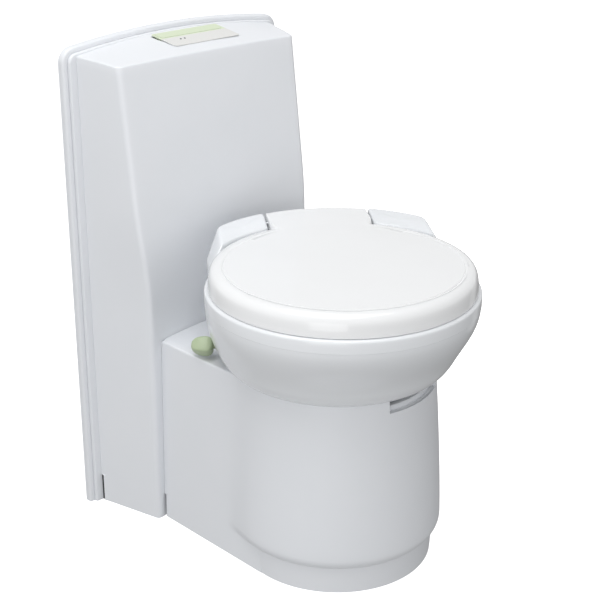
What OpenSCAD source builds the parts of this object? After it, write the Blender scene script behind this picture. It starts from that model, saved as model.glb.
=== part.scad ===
// Free-standing toilet with a swivelling bowl and a pull-out waste cassette.
// Millimetres. Origin on the floor, on the vertical axis that the bowl turns about.
// The user faces -Y; the wall is at +Y. The bowl is drawn turned by bowl_angle, as it stands at rest.

/* [Wall flange] */
// Overall width of the flange
flange_w = 436; // [424:2:456]
// Height of the middle of its arched top
flange_top = 787; // [775:1:800]
// How far the arch falls from the middle to the sides
flange_rise = 16; // [10:1:24]
// Radius of the two upper corners
flange_corner = 24; // [18:1:32]
// Distance of the wall plane behind the swivel axis
wall_y = 380; // [374:1:392]
// Depth of the outer lip of the flange
lip_depth = 12; // [9:0.5:14]
// Depth of the inner step of the flange
step_depth = 6; // [5:0.5:8]
// How far the step stands inside the lip
step_inset = 9; // [7:0.5:11]
// Wall thickness of the large mouldings
wall = 3.5; // [3:0.1:4.2]

/* [Column] */
// How far the rear edge of the column stands inside the flange, on each side
col_inset = 21; // [18:1:25]
// How much narrower the upper front is than the rear edge, on each side
col_taper = 19; // [15:1:23]
// How much narrower the lower front is than the rear edge, on each side
col_waist = 29; // [26:1:32]
// Distance of the lower front edge behind the swivel axis
col_low_y = 243; // [240:1:247]
// Forward lean of the upper front: setback per millimetre of height
col_lean = 0.127; // [0.10:0.005:0.15]
// Height where the front begins to lean
lean_start = 380; // [360:5:400]
// Hollow in the middle of the lower front
col_hollow = 22; // [16:1:24]
// Height of the front edge of the column top
col_top_z = 753.5; // [745:0.5:758]
// Rise of the column top from front to rear, in the middle
top_rise = 23; // [17:1:24]
// Fall of the rear of the column top from the middle to the sides
top_fall = 15.5; // [12:0.5:18]
// Radius of the vertical front edges
col_edge_r = 9; // [6:1:14]

/* [Control fascia] */
// Length of the fascia along the column top
fascia_l = 132; // [120:1:140]
// Depth of the fascia, front to rear
fascia_d = 47; // [42:1:50]
// Sideways offset of the fascia
fascia_x = 11; // [0:1:14]
// How far its front edge is shifted sideways against its rear edge
fascia_skew = 14; // [0:1:16]
// Thickness of the fascia plate above the column top
fascia_t = 1.2; // [1:0.1:2]
// Depth of the flush key band
key_d = 17; // [14:1:20]
// Travel of the flush key
key_travel = 1.6; // [1:0.1:1.8]
// Radius of an indicator lens
led_r = 1.5; // [1:0.1:2]

/* [Base] */
// Height of the shoulder and of the pedestal top
base_h = 316; // [312:1:317]
// Half width of the shoulder block at its top
block_top_hw = 146; // [144:1:149]
// Half width of the shoulder block at the floor
block_low_hw = 154; // [152:1:157]
// Radius of the pedestal at its top
ped_top_r = 152; // [150:0.5:154]
// Greatest radius of the pedestal, near the floor
ped_low_r = 167; // [164:0.5:169]
// Height where the greatest radius is reached
ped_low_z = 64; // [58:1:72]
// Height of the plinth under the pedestal
plinth_h = 45; // [40:1:48]
// Radius of the plinth at the floor
plinth_r = 153; // [151:0.5:155]
// Front end of the straight block walls below the pedestal
block_front = 12; // [8:1:26]
// Depth of the neck slot below the pedestal top
slot_depth = 21; // [16:1:23]
// Thickness of the floor pan
pan_t = 6; // [5:0.5:7]

/* [Floor fixing] */
// Spacing of the floor screws across
floor_x = 264; // [258:1:268]
// Spacing of the floor screws front to rear
floor_y = 360; // [350:1:366]
// Distance of the front pair in front of the swivel axis
floor_front = 35; // [28:1:40]
// Radius of a floor screw hole
floor_r = 2.75; // [2.5:0.05:3.2]

/* [Neck] */
// Radius of the running fit between bearing and swivel collar
neck_r = 100; // [96:1:104]
// Radial running clearance of the turning fits
run = 0.06; // [0.03:0.01:0.09]
// Gap between pieces that are seated on each other
seat_gap = 0.3; // [0.2:0.05:0.4]
// Inner radius of the bowl outlet
outlet_r = 58; // [54:1:60]

/* [Bowl] */
// Rest angle of the bowl about the vertical axis
bowl_angle = -35; // [-60:1:60]
// Distance of the rim centre in front of the swivel axis
rim_ahead = 36; // [32:1:38]
// Outer radius of the rim band
rim_r = 204.5; // [202:0.5:206]
// Height of the rim top above the pedestal top
rim_rise = 140; // [137:1:142]
// Height of the rim band
band_h = 20; // [18:1:24]
// Radius of the opening in the rim
mouth_r = 148; // [144:1:150]
// Height of the bottom of the bowl hollow above the pedestal top
bowl_floor_rise = 30; // [28:1:36]

/* [Hinge] */
// Radius of the rear of the hinge block about the swivel axis
hinge_r = 222; // [219:1:226]
// Half width of the hinge block
hinge_hw = 166; // [160:1:170]
// Half width of the lid tab between the hinge ears
tab_hw = 82.5; // [78:0.5:86]
// Distance of the hinge axis behind the swivel axis
hinge_y = 182; // [180:1:184]
// Radius of the hinge pins
pin_r = 4; // [3.5:0.25:4.5]

/* [Seat and lid] */
// Radius of the lid
lid_r = 199; // [197:0.5:200]
// Height of the lid above the rim
lid_h = 38; // [37:0.5:40]
// Wall thickness of the lid
lid_t = 3; // [2.5:0.1:3.4]
// Outer radius of the seat
seat_r = 188; // [184:1:190]
// Thickness of the seat
seat_t = 16; // [14:0.5:17]
// Radius of the ends of the seat opening
seat_hole_r = 112; // [104:1:116]

/* [Valve lever] */
// Direction of the lever from the swivel axis, in the bowl's own frame
lever_dir = 167.4; // [162:0.1:170]
// Height of the middle of the lever above the pedestal top
lever_rise = 20; // [19:0.5:21]
// Distance of the knob's outer end from the swivel axis
knob_end = 225; // [222:1:228]
// Length of the knob
knob_l = 35; // [30:1:36]
// Greatest radius of the knob
knob_r = 16.5; // [14:0.5:17]
// Travel of the lever
lever_travel = 72; // [60:1:76]

/* [Cassette] */
// Half width of the waste tank
tank_hw = 118; // [112:1:119]
// Front end of the tank, ahead of the swivel axis
tank_front = 92; // [86:1:94]
// Rear end of the tank, behind the swivel axis
tank_rear = 338; // [330:1:340]
// Height of the tank's underside
tank_low = 14; // [12:1:18]
// Distance of the tank's top below the pedestal top
tank_drop = 84; // [82:1:90]
// Corner radius of the tank in plan
tank_corner = 46; // [40:1:50]
// Wall thickness of the tank
tank_t = 3; // [2.5:0.1:3.4]
// Radius of the tank's inlet
inlet_r = 50; // [46:1:52]
// Radius of the valve blade
blade_r = 56; // [54:0.5:58]
// Sideways place of the blade pivot
blade_x = -60; // [-62:1:-58]
// Place of the blade pivot behind the swivel axis
blade_y = 74; // [72:1:76]
// Radius of the cassette wheels
wheel_r = 20; // [18:0.5:21]
// Radius of the wheel axle
axle_r = 4; // [3.5:0.25:4.5]
// Outer radius of the pour-out spout
spout_r = 12; // [10:0.5:13]
// Reach of the spout from its turning axis
spout_l = 112; // [100:1:116]

/* [Flush water] */
// Width of the flush-water tank
water_w = 300; // [280:2:310]
// Depth of the flush-water tank
water_d = 66; // [60:1:68]
// Height of the underside of the flush-water tank above the pedestal top
water_rise = 20; // [14:1:29]
// Height of the flush-water tank
water_h = 350; // [320:2:360]
// Radius of the filler neck
filler_r = 28; // [24:1:32]
// Radius of the flush pump
pump_r = 19; // [16:1:22]
// Height of the flush pump's body
pump_h = 66; // [56:1:76]

/* [Hidden] */
$fn = 96;
eps = 0.01;
deep = 1000;
col_rear_hw = flange_w / 2 - col_inset;
col_top_hw = col_rear_hw - col_taper;
col_low_hw = col_rear_hw - col_waist;
rim_z = base_h + rim_rise;
bowl_floor_z = base_h + bowl_floor_rise;
lever_z = base_h + lever_rise;
tank_top = base_h - tank_drop;
water_low = base_h + water_rise;
step_y = wall_y - lip_depth - step_depth;
col_y = step_y - seat_gap;
col_samples = 10;
crown_hw = col_rear_hw + 13;
crown_samples = 14;
col_levels = [0, 360, 400, 440, 470, 500, 530, 560, 600, 640, 680, 720, flange_top + 40];
bowl_top_z = rim_z - band_h;
lid_low = rim_z + 1;
lid_top = rim_z + lid_h;
hinge_z = lid_top - 12;
ear_gap = 3;
tab_rear = hinge_r - 2;
hinge_sweep = sqrt(pow(tab_rear - hinge_y, 2) + pow(lid_top - hinge_z, 2)) + 0.5;
trough_y = hinge_y - sqrt(pow(hinge_sweep + 2, 2) - pow(hinge_z - rim_z, 2));
trough_floor = hinge_z - hinge_sweep - 1.6;
hinge_low = min(bowl_top_z, trough_floor - 4);
lid_clear = 4.5;
ear_in = tab_hw + ear_gap;
ear_top = lid_top - 0.5;
ear_low_hw = hinge_hw + 21;
shell_low = base_h + 1;
blade_low = tank_top + 6;
housing_top = tank_top + 18;
seal_h = 8;
outlet_low = housing_top + seal_h + seat_gap;
hub_r = neck_r - 10;
collar_top = shell_low + 10;
bay_hw = 140;
axle_y = 24 - tank_front;
axle_z = pan_t + seat_gap + wheel_r;
notch_end = axle_y + wheel_r + 4;
notch_top = axle_z + wheel_r + 4;
spout_x = 66;
spout_y = 284;
spout_z = tank_top + 20;
handle_y = tank_rear + 8;
handle_z = tank_top - 26;
water_y = wall_y - 22;
pump_x = -88;
filler_x = 100;
filler_z = 650;
vent_x = -84;
vent_y = 300;
float_x = 40;
float_y = 246;
float_z = tank_top - 14;
float_hang = -58;

// Smooth 0 to 1 step between a and b.
function ramp(a, b, v) = let (t = min(1, max(0, (v - a) / (b - a)))) t * t * (3 - 2 * t);
// Points on an arc about c.
function arc(c, r, a0, a1, n) = [for (i = [0:n]) c + r * [cos(a0 + (a1 - a0) * i / n),
    sin(a0 + (a1 - a0) * i / n)]];
// Rectangle with round corners, as points.
function round_rect(x0, y0, x1, y1, r, n = 8) = concat(
    arc([x1 - r, y1 - r], r, 0, 90, n), arc([x0 + r, y1 - r], r, 90, 180, n),
    arc([x0 + r, y0 + r], r, 180, 270, n), arc([x1 - r, y0 + r], r, 270, 360, n));

// A closed solid through rings of equal point count, capped at both ends.
module loft(rings) {
    n = len(rings[0]);
    m = len(rings);
    points = [for (ring = rings) each ring];
    sides = [for (j = [0:m - 2], i = [0:n - 1]) each [
        [j * n + i, (j + 1) * n + (i + 1) % n, j * n + (i + 1) % n],
        [j * n + i, (j + 1) * n + i, (j + 1) * n + (i + 1) % n]]];
    ends = [for (i = [1:n - 2]) each [[0, i, i + 1], [(m - 1) * n, (m - 1) * n + i + 1,
        (m - 1) * n + i]]];
    polyhedron(points, concat(sides, ends), convexity = 8);
}

// A closed ring-shaped solid: the last ring joins the first.
module loft_loop(rings) {
    n = len(rings[0]);
    m = len(rings);
    points = [for (ring = rings) each ring];
    sides = [for (j = [0:m - 1], i = [0:n - 1]) each [
        [j * n + i, ((j + 1) % m) * n + (i + 1) % n, j * n + (i + 1) % n],
        [j * n + i, ((j + 1) % m) * n + i, ((j + 1) % m) * n + (i + 1) % n]]];
    polyhedron(points, sides, convexity = 8);
}

module tube(ro, ri, z0, z1) {
    translate([0, 0, z0]) difference() {
        cylinder(r = ro, h = z1 - z0);
        translate([0, 0, -1]) cylinder(r = ri, h = z1 - z0 + 2);
    }
}

module box(x0, y0, z0, x1, y1, z1) {
    translate([x0, y0, z0]) cube([x1 - x0, y1 - y0, z1 - z0]);
}

// A plate drawn in X and Z, from y0 to y1.
module slab_y(y0, y1) {
    translate([0, y1, 0]) rotate([90, 0, 0]) linear_extrude(y1 - y0) children();
}

module along_x(x0, x1, y, z, r) {
    translate([x0, y, z]) rotate([0, 90, 0]) cylinder(r = r, h = x1 - x0);
}

module along_y(y0, y1, x, z, r) {
    translate([x, y0, z]) rotate([-90, 0, 0]) cylinder(r = r, h = y1 - y0);
}

module both_sides() {
    children();
    mirror([1, 0, 0]) children();
}

module in_bowl_frame() {
    rotate([0, 0, bowl_angle]) children();
}

module about_rim() {
    translate([0, -rim_ahead, 0]) children();
}

// ---- Wall flange: a shallow tray with an arched top, a lip and a step ----
flange_arc_r = (pow(flange_w / 2, 2) + pow(flange_rise, 2)) / (2 * flange_rise);
function flange_outline(d, low = 0) = let (
    hw = flange_w / 2 - d,
    big = flange_arc_r - d,
    rc = flange_corner - d,
    cz = flange_top - flange_arc_r,
    fz = cz + sqrt(pow(big - rc, 2) - pow(hw - rc, 2)),
    a = atan2(fz - cz, hw - rc))
    concat([[hw, low]], arc([hw - rc, fz], rc, 0, a, 6), arc([0, cz], big, a, 180 - a, 30),
        arc([rc - hw, fz], rc, 180 - a, 180, 6), [[-hw, low]]);
flange_open_hw = col_rear_hw - 13;
flange_open_z = flange_top - 50;

module wall_flange() {
    color("#EDEFF1") difference() {
        union() {
            slab_y(wall_y - lip_depth, wall_y) polygon(flange_outline(0));
            slab_y(step_y, wall_y - lip_depth + eps) polygon(flange_outline(step_inset));
        }
        slab_y(wall_y - lip_depth + wall, wall_y + 1) polygon(flange_outline(wall, -1));
        slab_y(step_y + wall, wall_y) polygon(flange_outline(step_inset + wall, -1));
        box(-flange_open_hw, step_y - 1, -1, flange_open_hw, wall_y, flange_open_z);
    }
}

// ---- Back panel: closes the rear of the column above the cassette opening ----
service_z = tank_top + 44;
panel_y = wall_y - 9;
module back_panel() {
    color("#C9CDD2") difference() {
        union() {
            box(-flange_open_hw - 12, panel_y, service_z, flange_open_hw + 12, panel_y + 3,
                flange_open_z + 12);
            both_sides() box(flange_open_hw + seat_gap, step_y + wall + seat_gap, service_z,
                flange_open_hw + 8, panel_y + eps, flange_open_z + 6);
            box(-60, water_y - water_d + 8, water_low - seat_gap - 3, 60, panel_y + eps,
                water_low - seat_gap);
        }
        along_y(panel_y - 5, panel_y + 5, filler_x, filler_z, filler_r + 2 + seat_gap);
        for (x = [-1, 1], z = [service_z + 20, flange_open_z - 6])
            along_y(panel_y - 12, panel_y + 5, x * (flange_open_hw + 4), z, 1.6);
    }
}

module panel_screws() {
    color("#9A9EA3") for (x = [-1, 1], z = [service_z + 20, flange_open_z - 6]) {
        along_y(panel_y - 3, panel_y + 3.1, x * (flange_open_hw + 4), z, 1.55);
        along_y(panel_y + 3, panel_y + 5, x * (flange_open_hw + 4), z, 3.2);
    }
}

// ---- Column cover: tapers to the front, leans forward above, hollow in front below ----
function col_hw(z) = col_low_hw + (col_top_hw - col_low_hw) * ramp(lean_start - 20, 540, z);
lean_blend = 120;
function col_edge_y(z) = let (u = max(0, z - lean_start))
    col_low_y + col_lean * (u < lean_blend ? u * u / (2 * lean_blend) : u - lean_blend / 2);
function col_sag(z) = col_hollow * (1 - ramp(400, 700, z));
function col_front_y(x, z, d) = col_edge_y(z) + d + col_sag(z) * (1 - pow(x / (col_hw(z) - d), 2));
top_crown = 2;
function top_z(x, y) = let (t = (y - col_edge_y(col_top_z)) / (col_y - col_edge_y(col_top_z)))
    col_top_z + top_crown * (1 - pow(x / col_top_hw, 2)) * (1 - t)
    + t * (top_rise - top_fall * pow(x / col_rear_hw, 2));
// Left half of the plan at height z, from the rear to the middle of the front; d is the inset of the inner wall.
function col_side(z, d, rear) = let (
    c = [-col_hw(z) + d, col_edge_y(z) + d],
    r = [-col_rear_hw + d, rear],
    s = (r - c) / norm(r - c),
    p0 = c + s * col_edge_r,
    x1 = c[0] + col_edge_r,
    p2 = [x1, col_front_y(x1, z, d)],
    bend = [for (i = [0:4]) let (t = i / 4) (1 - t) * (1 - t) * p0 + 2 * t * (1 - t) * c + t * t * p2],
    front = [for (i = [1:col_samples]) let (x = x1 * (1 - i / col_samples)) [x, col_front_y(x, z, d)]])
    concat([r], bend, front);
function mirrored(half) = [for (i = [len(half) - 2:-1:0]) [-half[i][0], half[i][1]]];
function col_plan(z, d, rear) = let (half = col_side(z, d, rear)) concat(half, mirrored(half));
function col_front(z) = let (half = col_side(z, 0, col_y)) concat(half, mirrored(half));
function at_z(plan, z) = [for (p = plan) [p[0], p[1], z]];
function column_rings(d, rear, low) = concat([at_z(col_plan(low, d, rear), low)],
    [for (z = col_levels) if (z > low) at_z(col_plan(z, d, rear), z)]);
// Everything above the crowned top, straight from front to rear at each x; drop lowers it for the inner face.
function crown_ring(y, drop) = concat([[crown_hw, y, flange_top + 60]],
    [for (i = [0:crown_samples]) let (x = crown_hw * (1 - 2 * i / crown_samples))
        [x, y, top_z(x, y) - drop]],
    [[-crown_hw, y, flange_top + 60]]);
module above_crown(drop) {
    loft([crown_ring(col_low_y - 20, drop), crown_ring(wall_y + 20, drop)]);
}

module column_shell() {
    color("#DADDE1") difference() {
        loft(column_rings(0, col_y, 0));
        above_crown(0);
        difference() {
            loft(column_rings(wall, col_y + 20, -1));
            above_crown(wall);
        }
        box(-bay_hw, col_low_y - 20, -1, bay_hw, col_low_y + col_hollow + 30, base_h - 24);
        both_sides() box(col_rear_hw - 20, col_y - 3, -1, col_rear_hw + 5, col_y + 2, 42);
        fascia_recess();
    }
}

// ---- Control fascia on the sloping top ----
fascia_rear_y = col_y - 7;
fascia_slope = atan((top_z(0, col_y) - col_top_z) / (col_y - col_edge_y(col_top_z)));
module on_fascia() {
    y = fascia_rear_y - fascia_d / 2;
    translate([fascia_x, y, top_z(fascia_x, y)]) rotate([fascia_slope, 0, 0]) children();
}
// Skewed plate between two depths, measured from the middle, with an inset all round.
module fascia_shape(y0, y1, inset) {
    lean = fascia_skew / fascia_d;
    r = min(4, (y1 - y0) / 2 - 0.4);
    polygon([for (p = round_rect(-fascia_l / 2 + inset, y0, fascia_l / 2 - inset, y1, r,
        5)) [p[0] - p[1] * lean, p[1]]]);
}
fascia_lip = 3;
module fascia_recess() {
    on_fascia() translate([0, 0, -12]) linear_extrude(30)
        fascia_shape(-fascia_d / 2 + fascia_lip, fascia_d / 2 - fascia_lip, fascia_lip);
}
key_y0 = fascia_d / 2 - key_d;
key_y1 = fascia_d / 2 - fascia_lip - 0.4;
board_z = -9.3;
module fascia_plate() {
    color("#CFD0CE") on_fascia() difference() {
        union() {
            translate([0, 0, 0.8]) linear_extrude(fascia_t) fascia_shape(-fascia_d / 2, fascia_d / 2, 0);
            translate([0, 0, -5]) linear_extrude(6.3) fascia_shape(-fascia_d / 2 + 3.4,
                fascia_d / 2 - 3.4, 3.4);
            for (x = [-44, 44], y = [-14, 3]) translate([x, y, board_z + 1.62]) cylinder(r = 2.5, h = 4,
                $fn = 24);
        }
        translate([0, 0, -2.4]) linear_extrude(10) fascia_shape(key_y0 - 0.4, key_y1 + 0.4,
            fascia_lip + 0.6);
        translate([0, 0, -6]) linear_extrude(10) fascia_shape(key_y0 + 4, key_y1 - 2, 8);
        for (x = [-35, -27]) translate([x, -5, -6]) cylinder(r = led_r + 0.05, h = 10, $fn = 24);
    }
}
module flush_key() {
    color("#C3CFB0") on_fascia() {
        translate([0, 0, key_travel - 2.1]) linear_extrude(fascia_t + 3.2 - key_travel)
            fascia_shape(key_y0, key_y1, fascia_lip + 1);
        translate([0, 0, -4]) linear_extrude(key_travel + 2.4) fascia_shape(key_y0 + 4.4, key_y1 - 2.4,
            12);
    }
}
module indicator_lenses() {
    color("#5B5F63") on_fascia() for (x = [-35, -27]) translate([x, -5, -5])
        cylinder(r = led_r, h = 5 + 0.8 + fascia_t + 0.3, $fn = 24);
}
module control_board() {
    color("#3E6B4F") on_fascia() translate([0, 0, board_z]) linear_extrude(1.6)
        fascia_shape(-fascia_d / 2 + 6, fascia_d / 2 - 6, 10);
    color("#2F3336") on_fascia() for (x = [-40, -5, 30]) translate([x, -16, board_z - 5.7]) cube([18,
        12, 5.8]);
}

// ---- Base: shoulder block and round pedestal in one moulding ----
function ped_r(z) = ped_low_r - (ped_low_r - ped_top_r) * pow(max(0,
    (z - ped_low_z) / (base_h - ped_low_z)), 1.35);
ped_levels = [ped_low_z + 8, 110, 150, 190, 230, 260, 290, base_h];
module pedestal_solid(d, z_low, z_top) {
    rotate_extrude($fn = 120) polygon(concat([[0, z_low], [ped_low_r - 9 - d, z_low],
        [ped_low_r - 3 - d, plinth_h + 8],
        [ped_low_r - d, ped_low_z]], [for (z = ped_levels) [ped_r(z) - d, min(z, z_top)]], [[0, z_top]]));
}
module block_solid(d, y0, y1, z_top) {
    slab_y(y0, y1) polygon([[-block_low_hw + d, -d], [block_low_hw - d, -d], [block_top_hw - d, z_top],
        [-block_top_hw + d, z_top]]);
}
neck_hole_r = neck_r + 19;
slot_from = -15.5;
slot_to = 30;
module neck_slot_cut() {
    rotate([0, 0, -90 + slot_from]) rotate_extrude(angle = slot_to - slot_from)
        translate([ped_top_r - 20, base_h - slot_depth]) square([40, slot_depth + 2]);
}
module base_shell() {
    color("#D3D7DB") difference() {
        union() {
            pedestal_solid(0, plinth_h + 1, base_h);
            block_solid(0, block_front, wall_y - 90, base_h);
        }
        pedestal_solid(4, -1, base_h - 4);
        block_solid(4, 0, wall_y - 80, base_h - 4);
        translate([0, 0, base_h - 20]) cylinder(r = neck_hole_r, h = 40);
        neck_slot_cut();
        translate([0, 0, -5]) linear_extrude(base_h + 10) polygon(concat([for (p = col_front(base_h))
            p - [0, seat_gap]], [[deep, col_y], [deep, deep], [-deep, deep], [-deep, col_y]]));
    }
}
module plinth() {
    color("#DCDFE3") difference() {
        rotate_extrude($fn = 120) polygon([[plinth_r - 4, 0], [plinth_r, 0], [plinth_r + 3, plinth_h - 1],
            [plinth_r + 3, plinth_h], [plinth_r - 4, plinth_h], [plinth_r - 4, plinth_h - 6],
                [plinth_r - 1, plinth_h - 6],
            [plinth_r - 4, 8]]);
        box(-deep / 2, block_front - seat_gap, -1, deep / 2, deep / 2, plinth_h + 1);
    }
}
floor_cy = floor_y / 2 - floor_front;
module at_floor_screws() {
    for (x = [-1, 1], y = [-1, 1]) translate([x * floor_x / 2, floor_cy + y * floor_y / 2, 0]) children();
}
module floor_pan() {
    color("#B9BEC4") difference() {
        union() {
            intersection() {
                cylinder(r = plinth_r - 4 - seat_gap, h = pan_t, $fn = 120);
                box(-deep / 2, -deep / 2, -1, deep / 2, block_front + 20, 20);
            }
            box(-block_low_hw + 10, block_front, 0, block_low_hw - 10, col_low_y - 4, pan_t);
            box(-bay_hw + 2, block_front, 0, bay_hw - 2, step_y - 4, pan_t);
        }
        at_floor_screws() translate([0, 0, -1]) cylinder(r = floor_r, h = pan_t + 2, $fn = 24);
    }
}
rail_gap = 1.5;
module guide_rails() {
    color("#8E949A") both_sides() {
        box(tank_hw + rail_gap, -56, pan_t + 0.02, tank_hw + rail_gap + 3, step_y - 16, 44);
        box(tank_hw + rail_gap, -56, pan_t + 0.02, tank_hw + rail_gap + 7, step_y - 16, pan_t + 3);
    }
}

// ---- Neck: the bowl turns on a collar in this bearing ----
module neck_bearing() {
    color("#7F858B") {
        tube(neck_hole_r - 0.2, neck_r, base_h - 34, shell_low);
        tube(neck_hole_r + 12, neck_hole_r - 1, base_h - 10, base_h - 4 - seat_gap);
    }
}

// ---- Flush water: tank, filler, pump and hose ----
water_front = water_y - water_d;
module flush_water_tank() {
    color("#E4E6E2", 0.9) difference() {
        linear_plan(water_low, water_low + water_h) polygon(round_rect(-water_w / 2, water_front,
            water_w / 2, water_y, 14, 6));
        linear_plan(water_low + 3, water_low + water_h - 3)
            polygon(round_rect(-water_w / 2 + 3, water_front + 3, water_w / 2 - 3, water_y - 3, 11, 6));
        along_y(water_y - 8, water_y + 2, filler_x, filler_z, filler_r - 3);
        translate([pump_x, water_y - water_d / 2, water_low - 1]) cylinder(r = 8.2, h = 6);
    }
}
module linear_plan(z0, z1) {
    translate([0, 0, z0]) linear_extrude(z1 - z0) children();
}
module filler_neck() {
    color("#D9DBDD") difference() {
        along_y(water_y + 0.02, wall_y - 9, filler_x, filler_z, filler_r);
        along_y(water_y - 1, wall_y, filler_x, filler_z, filler_r - 3);
    }
}
module filler_cap() {
    color("#3A3F45") difference() {
        union() {
            along_y(wall_y - 8.7, wall_y - 2, filler_x, filler_z, filler_r + 2);
            along_y(wall_y - 16, wall_y - 8, filler_x, filler_z, filler_r - 3 - run);
        }
        along_y(wall_y - 18, wall_y - 11, filler_x, filler_z, filler_r - 7);
        for (s = [-1, 1]) box(filler_x + s * 10 - 7, wall_y - 6, filler_z - 30, filler_x + s * 10 + 7,
            wall_y, filler_z + 30);
    }
}
module flush_pump() {
    color("#2E3338") translate([pump_x, water_y - water_d / 2, 0]) {
        translate([0, 0, water_low + 3.02]) cylinder(r = pump_r, h = pump_h);
        translate([0, 0, water_low + 3 + pump_h]) cylinder(r = pump_r - 5, h = 8);
        translate([0, 0, water_low - 12]) cylinder(r = 8, h = 16);
    }
}
hose_r = 9;
hose_low = base_h - 34;
hose_y = water_y - water_d / 2;
hose_end = sqrt(pow(neck_hole_r, 2) - pow(abs(pump_x) - hose_r, 2)) + seat_gap;
module flush_hose() {
    color("#6E747A") {
        translate([pump_x, hose_y, hose_low]) cylinder(r = hose_r, h = water_low - 12.3 - hose_low);
        translate([pump_x, hose_y, hose_low]) sphere(r = hose_r, $fn = 48);
        along_y(hose_end, hose_y, pump_x, hose_low, hose_r);
    }
}

// ---- Bowl: shell, liner, rim with hinge ears ----
function shell_r(z) = let (t = (z - shell_low) / (bowl_top_z - shell_low))
    ped_top_r + (rim_r - 0.5 - ped_top_r) * pow(1 - pow(1 - t, 1.6), 0.59);
function shell_ahead(z) = rim_ahead * ramp(lever_z + 12, bowl_top_z, z);
function ring_at(r, ahead, z, n) = [for (i = [0:n - 1]) [r * sin(i * 360 / n),
    -ahead + r * cos(i * 360 / n), z]];
shell_steps = [0, 0.02, 0.06, 0.12, 0.2, 0.3, 0.42, 0.56, 0.72, 0.88, 1];
lever_slot_from = lever_dir - lever_travel - 5;
lever_slot_to = lever_dir + 15;
module bowl_shell() {
    zs = [for (t = shell_steps) shell_low + t * (bowl_top_z - shell_low)];
    outer = [for (z = zs) ring_at(shell_r(z), shell_ahead(z), z, 72)];
    inner = [for (i = [len(zs) - 1:-1:0]) ring_at(shell_r(zs[i]) - wall, shell_ahead(zs[i]), zs[i], 72)];
    color("#D6DADE") in_bowl_frame() difference() {
        loft_loop(concat(outer, inner));
        rotate([0, 0, lever_slot_from]) rotate_extrude(angle = lever_slot_to - lever_slot_from)
            translate([hub_r + 30, lever_z - 8]) square([90, 16]);
    }
}
function liner_r(t) = outlet_r + (mouth_r - 1 - outlet_r) * pow(1 - pow(1 - t, 1.9), 0.55);
liner_steps = [0, 0.015, 0.05, 0.11, 0.2, 0.32, 0.48, 0.66, 0.84, 1];
liner_top = rim_z - 6.3;
tube_top = bowl_floor_z - 4;
module bowl_liner() {
    function z_at(t) = bowl_floor_z + t * (liner_top - bowl_floor_z);
    function ahead_at(t) = rim_ahead * ramp(0, 0.86, t);
    m = len(liner_steps);
    inner = [for (t = liner_steps) ring_at(liner_r(t), ahead_at(t), z_at(t), 60)];
    outer = [for (i = [m - 1:-1:0]) let (t = liner_steps[i]) ring_at(liner_r(t) + 3, ahead_at(t),
        z_at(t) - 3 * (1 - t), 60)];
    color("#EEF0F2") in_bowl_frame() difference() {
        loft_loop(concat([ring_at(outlet_r, 0, tube_top, 60)], inner, outer, [ring_at(outlet_r + 3, 0,
            tube_top, 60)]));
        at_nozzle() along_y(mouth_r - 8, mouth_r + 10, 0, nozzle_z, 4.1);
    }
}

module outlet_tube() {
    color("#B9BEC4") in_bowl_frame() tube(outlet_r + 3, outlet_r, outlet_low, tube_top - seat_gap);
}

// The hinge block: round behind, its sides sloping outward from the top to the rim band; d is an inset.
module hinge_block(z0, z1, d) {
    intersection() {
        linear_plan(z0, z1) circle(r = hinge_r - d, $fn = 180);
        slab_y(20, deep / 2) polygon([[-ear_low_hw + d, 0], [ear_low_hw - d, 0], [ear_low_hw - d,
            rim_z - 4],
            [hinge_hw - d, ear_top], [hinge_hw - d, deep], [-hinge_hw + d, deep], [-hinge_hw + d,
                ear_top],
            [-ear_low_hw + d, rim_z - 4]]);
    }
}
module rim_band() {
    about_rim() rotate_extrude($fn = 180) polygon([[mouth_r, rim_z], [rim_r - 4, rim_z], [rim_r - 1.2,
        rim_z - 1.5],
        [rim_r, rim_z - 4.5], [rim_r, bowl_top_z], [rim_r - 4, bowl_top_z], [rim_r - 4, rim_z - 5],
        [mouth_r + 5.3, rim_z - 5], [mouth_r + 5.3, rim_z - 16], [mouth_r + 2.3, rim_z - 16],
            [mouth_r + 2.3, rim_z - 6],
        [mouth_r, rim_z - 6]]);
}
module rim_ring() {
    color("#E2E5E8") in_bowl_frame() difference() {
        rim_band();
        box(-ear_in, trough_y, 0, ear_in, deep / 2, deep);
    }
}
// Two hollow ears, tied by a floor and a low rear wall that the open lid's tab swings down into.
module hinge_ears() {
    color("#E2E5E8") in_bowl_frame() difference() {
        hinge_block(hinge_low, ear_top, 0);
        difference() {
            hinge_block(hinge_low - 1, ear_top - 4, 4);
            box(-ear_in - 12, 0, 0, ear_in + 12, deep / 2, deep);
        }
        box(-ear_in, 0, rim_z - 4, ear_in, deep / 2, deep);
        linear_plan(trough_floor, deep) intersection() {
            circle(r = hinge_r - 4, $fn = 180);
            translate([-ear_in, 0]) square([2 * ear_in, deep]);
        }
        about_rim() translate([0, 0, hinge_low - 1]) cylinder(r = rim_r + seat_gap,
            h = rim_z - hinge_low + 1 + seat_gap, $fn = 180);
        about_rim() linear_plan(rim_z, deep) circle(r = lid_r + lid_clear, $fn = 180);
        along_x(-ear_in - 20, ear_in + 20, hinge_y, hinge_z, pin_r + 0.02);
    }
}
module hinge_pins() {
    color("#9FA4A9") in_bowl_frame() both_sides() along_x(tab_hw - 32, ear_in + 12, hinge_y, hinge_z,
        pin_r);
}
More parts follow.
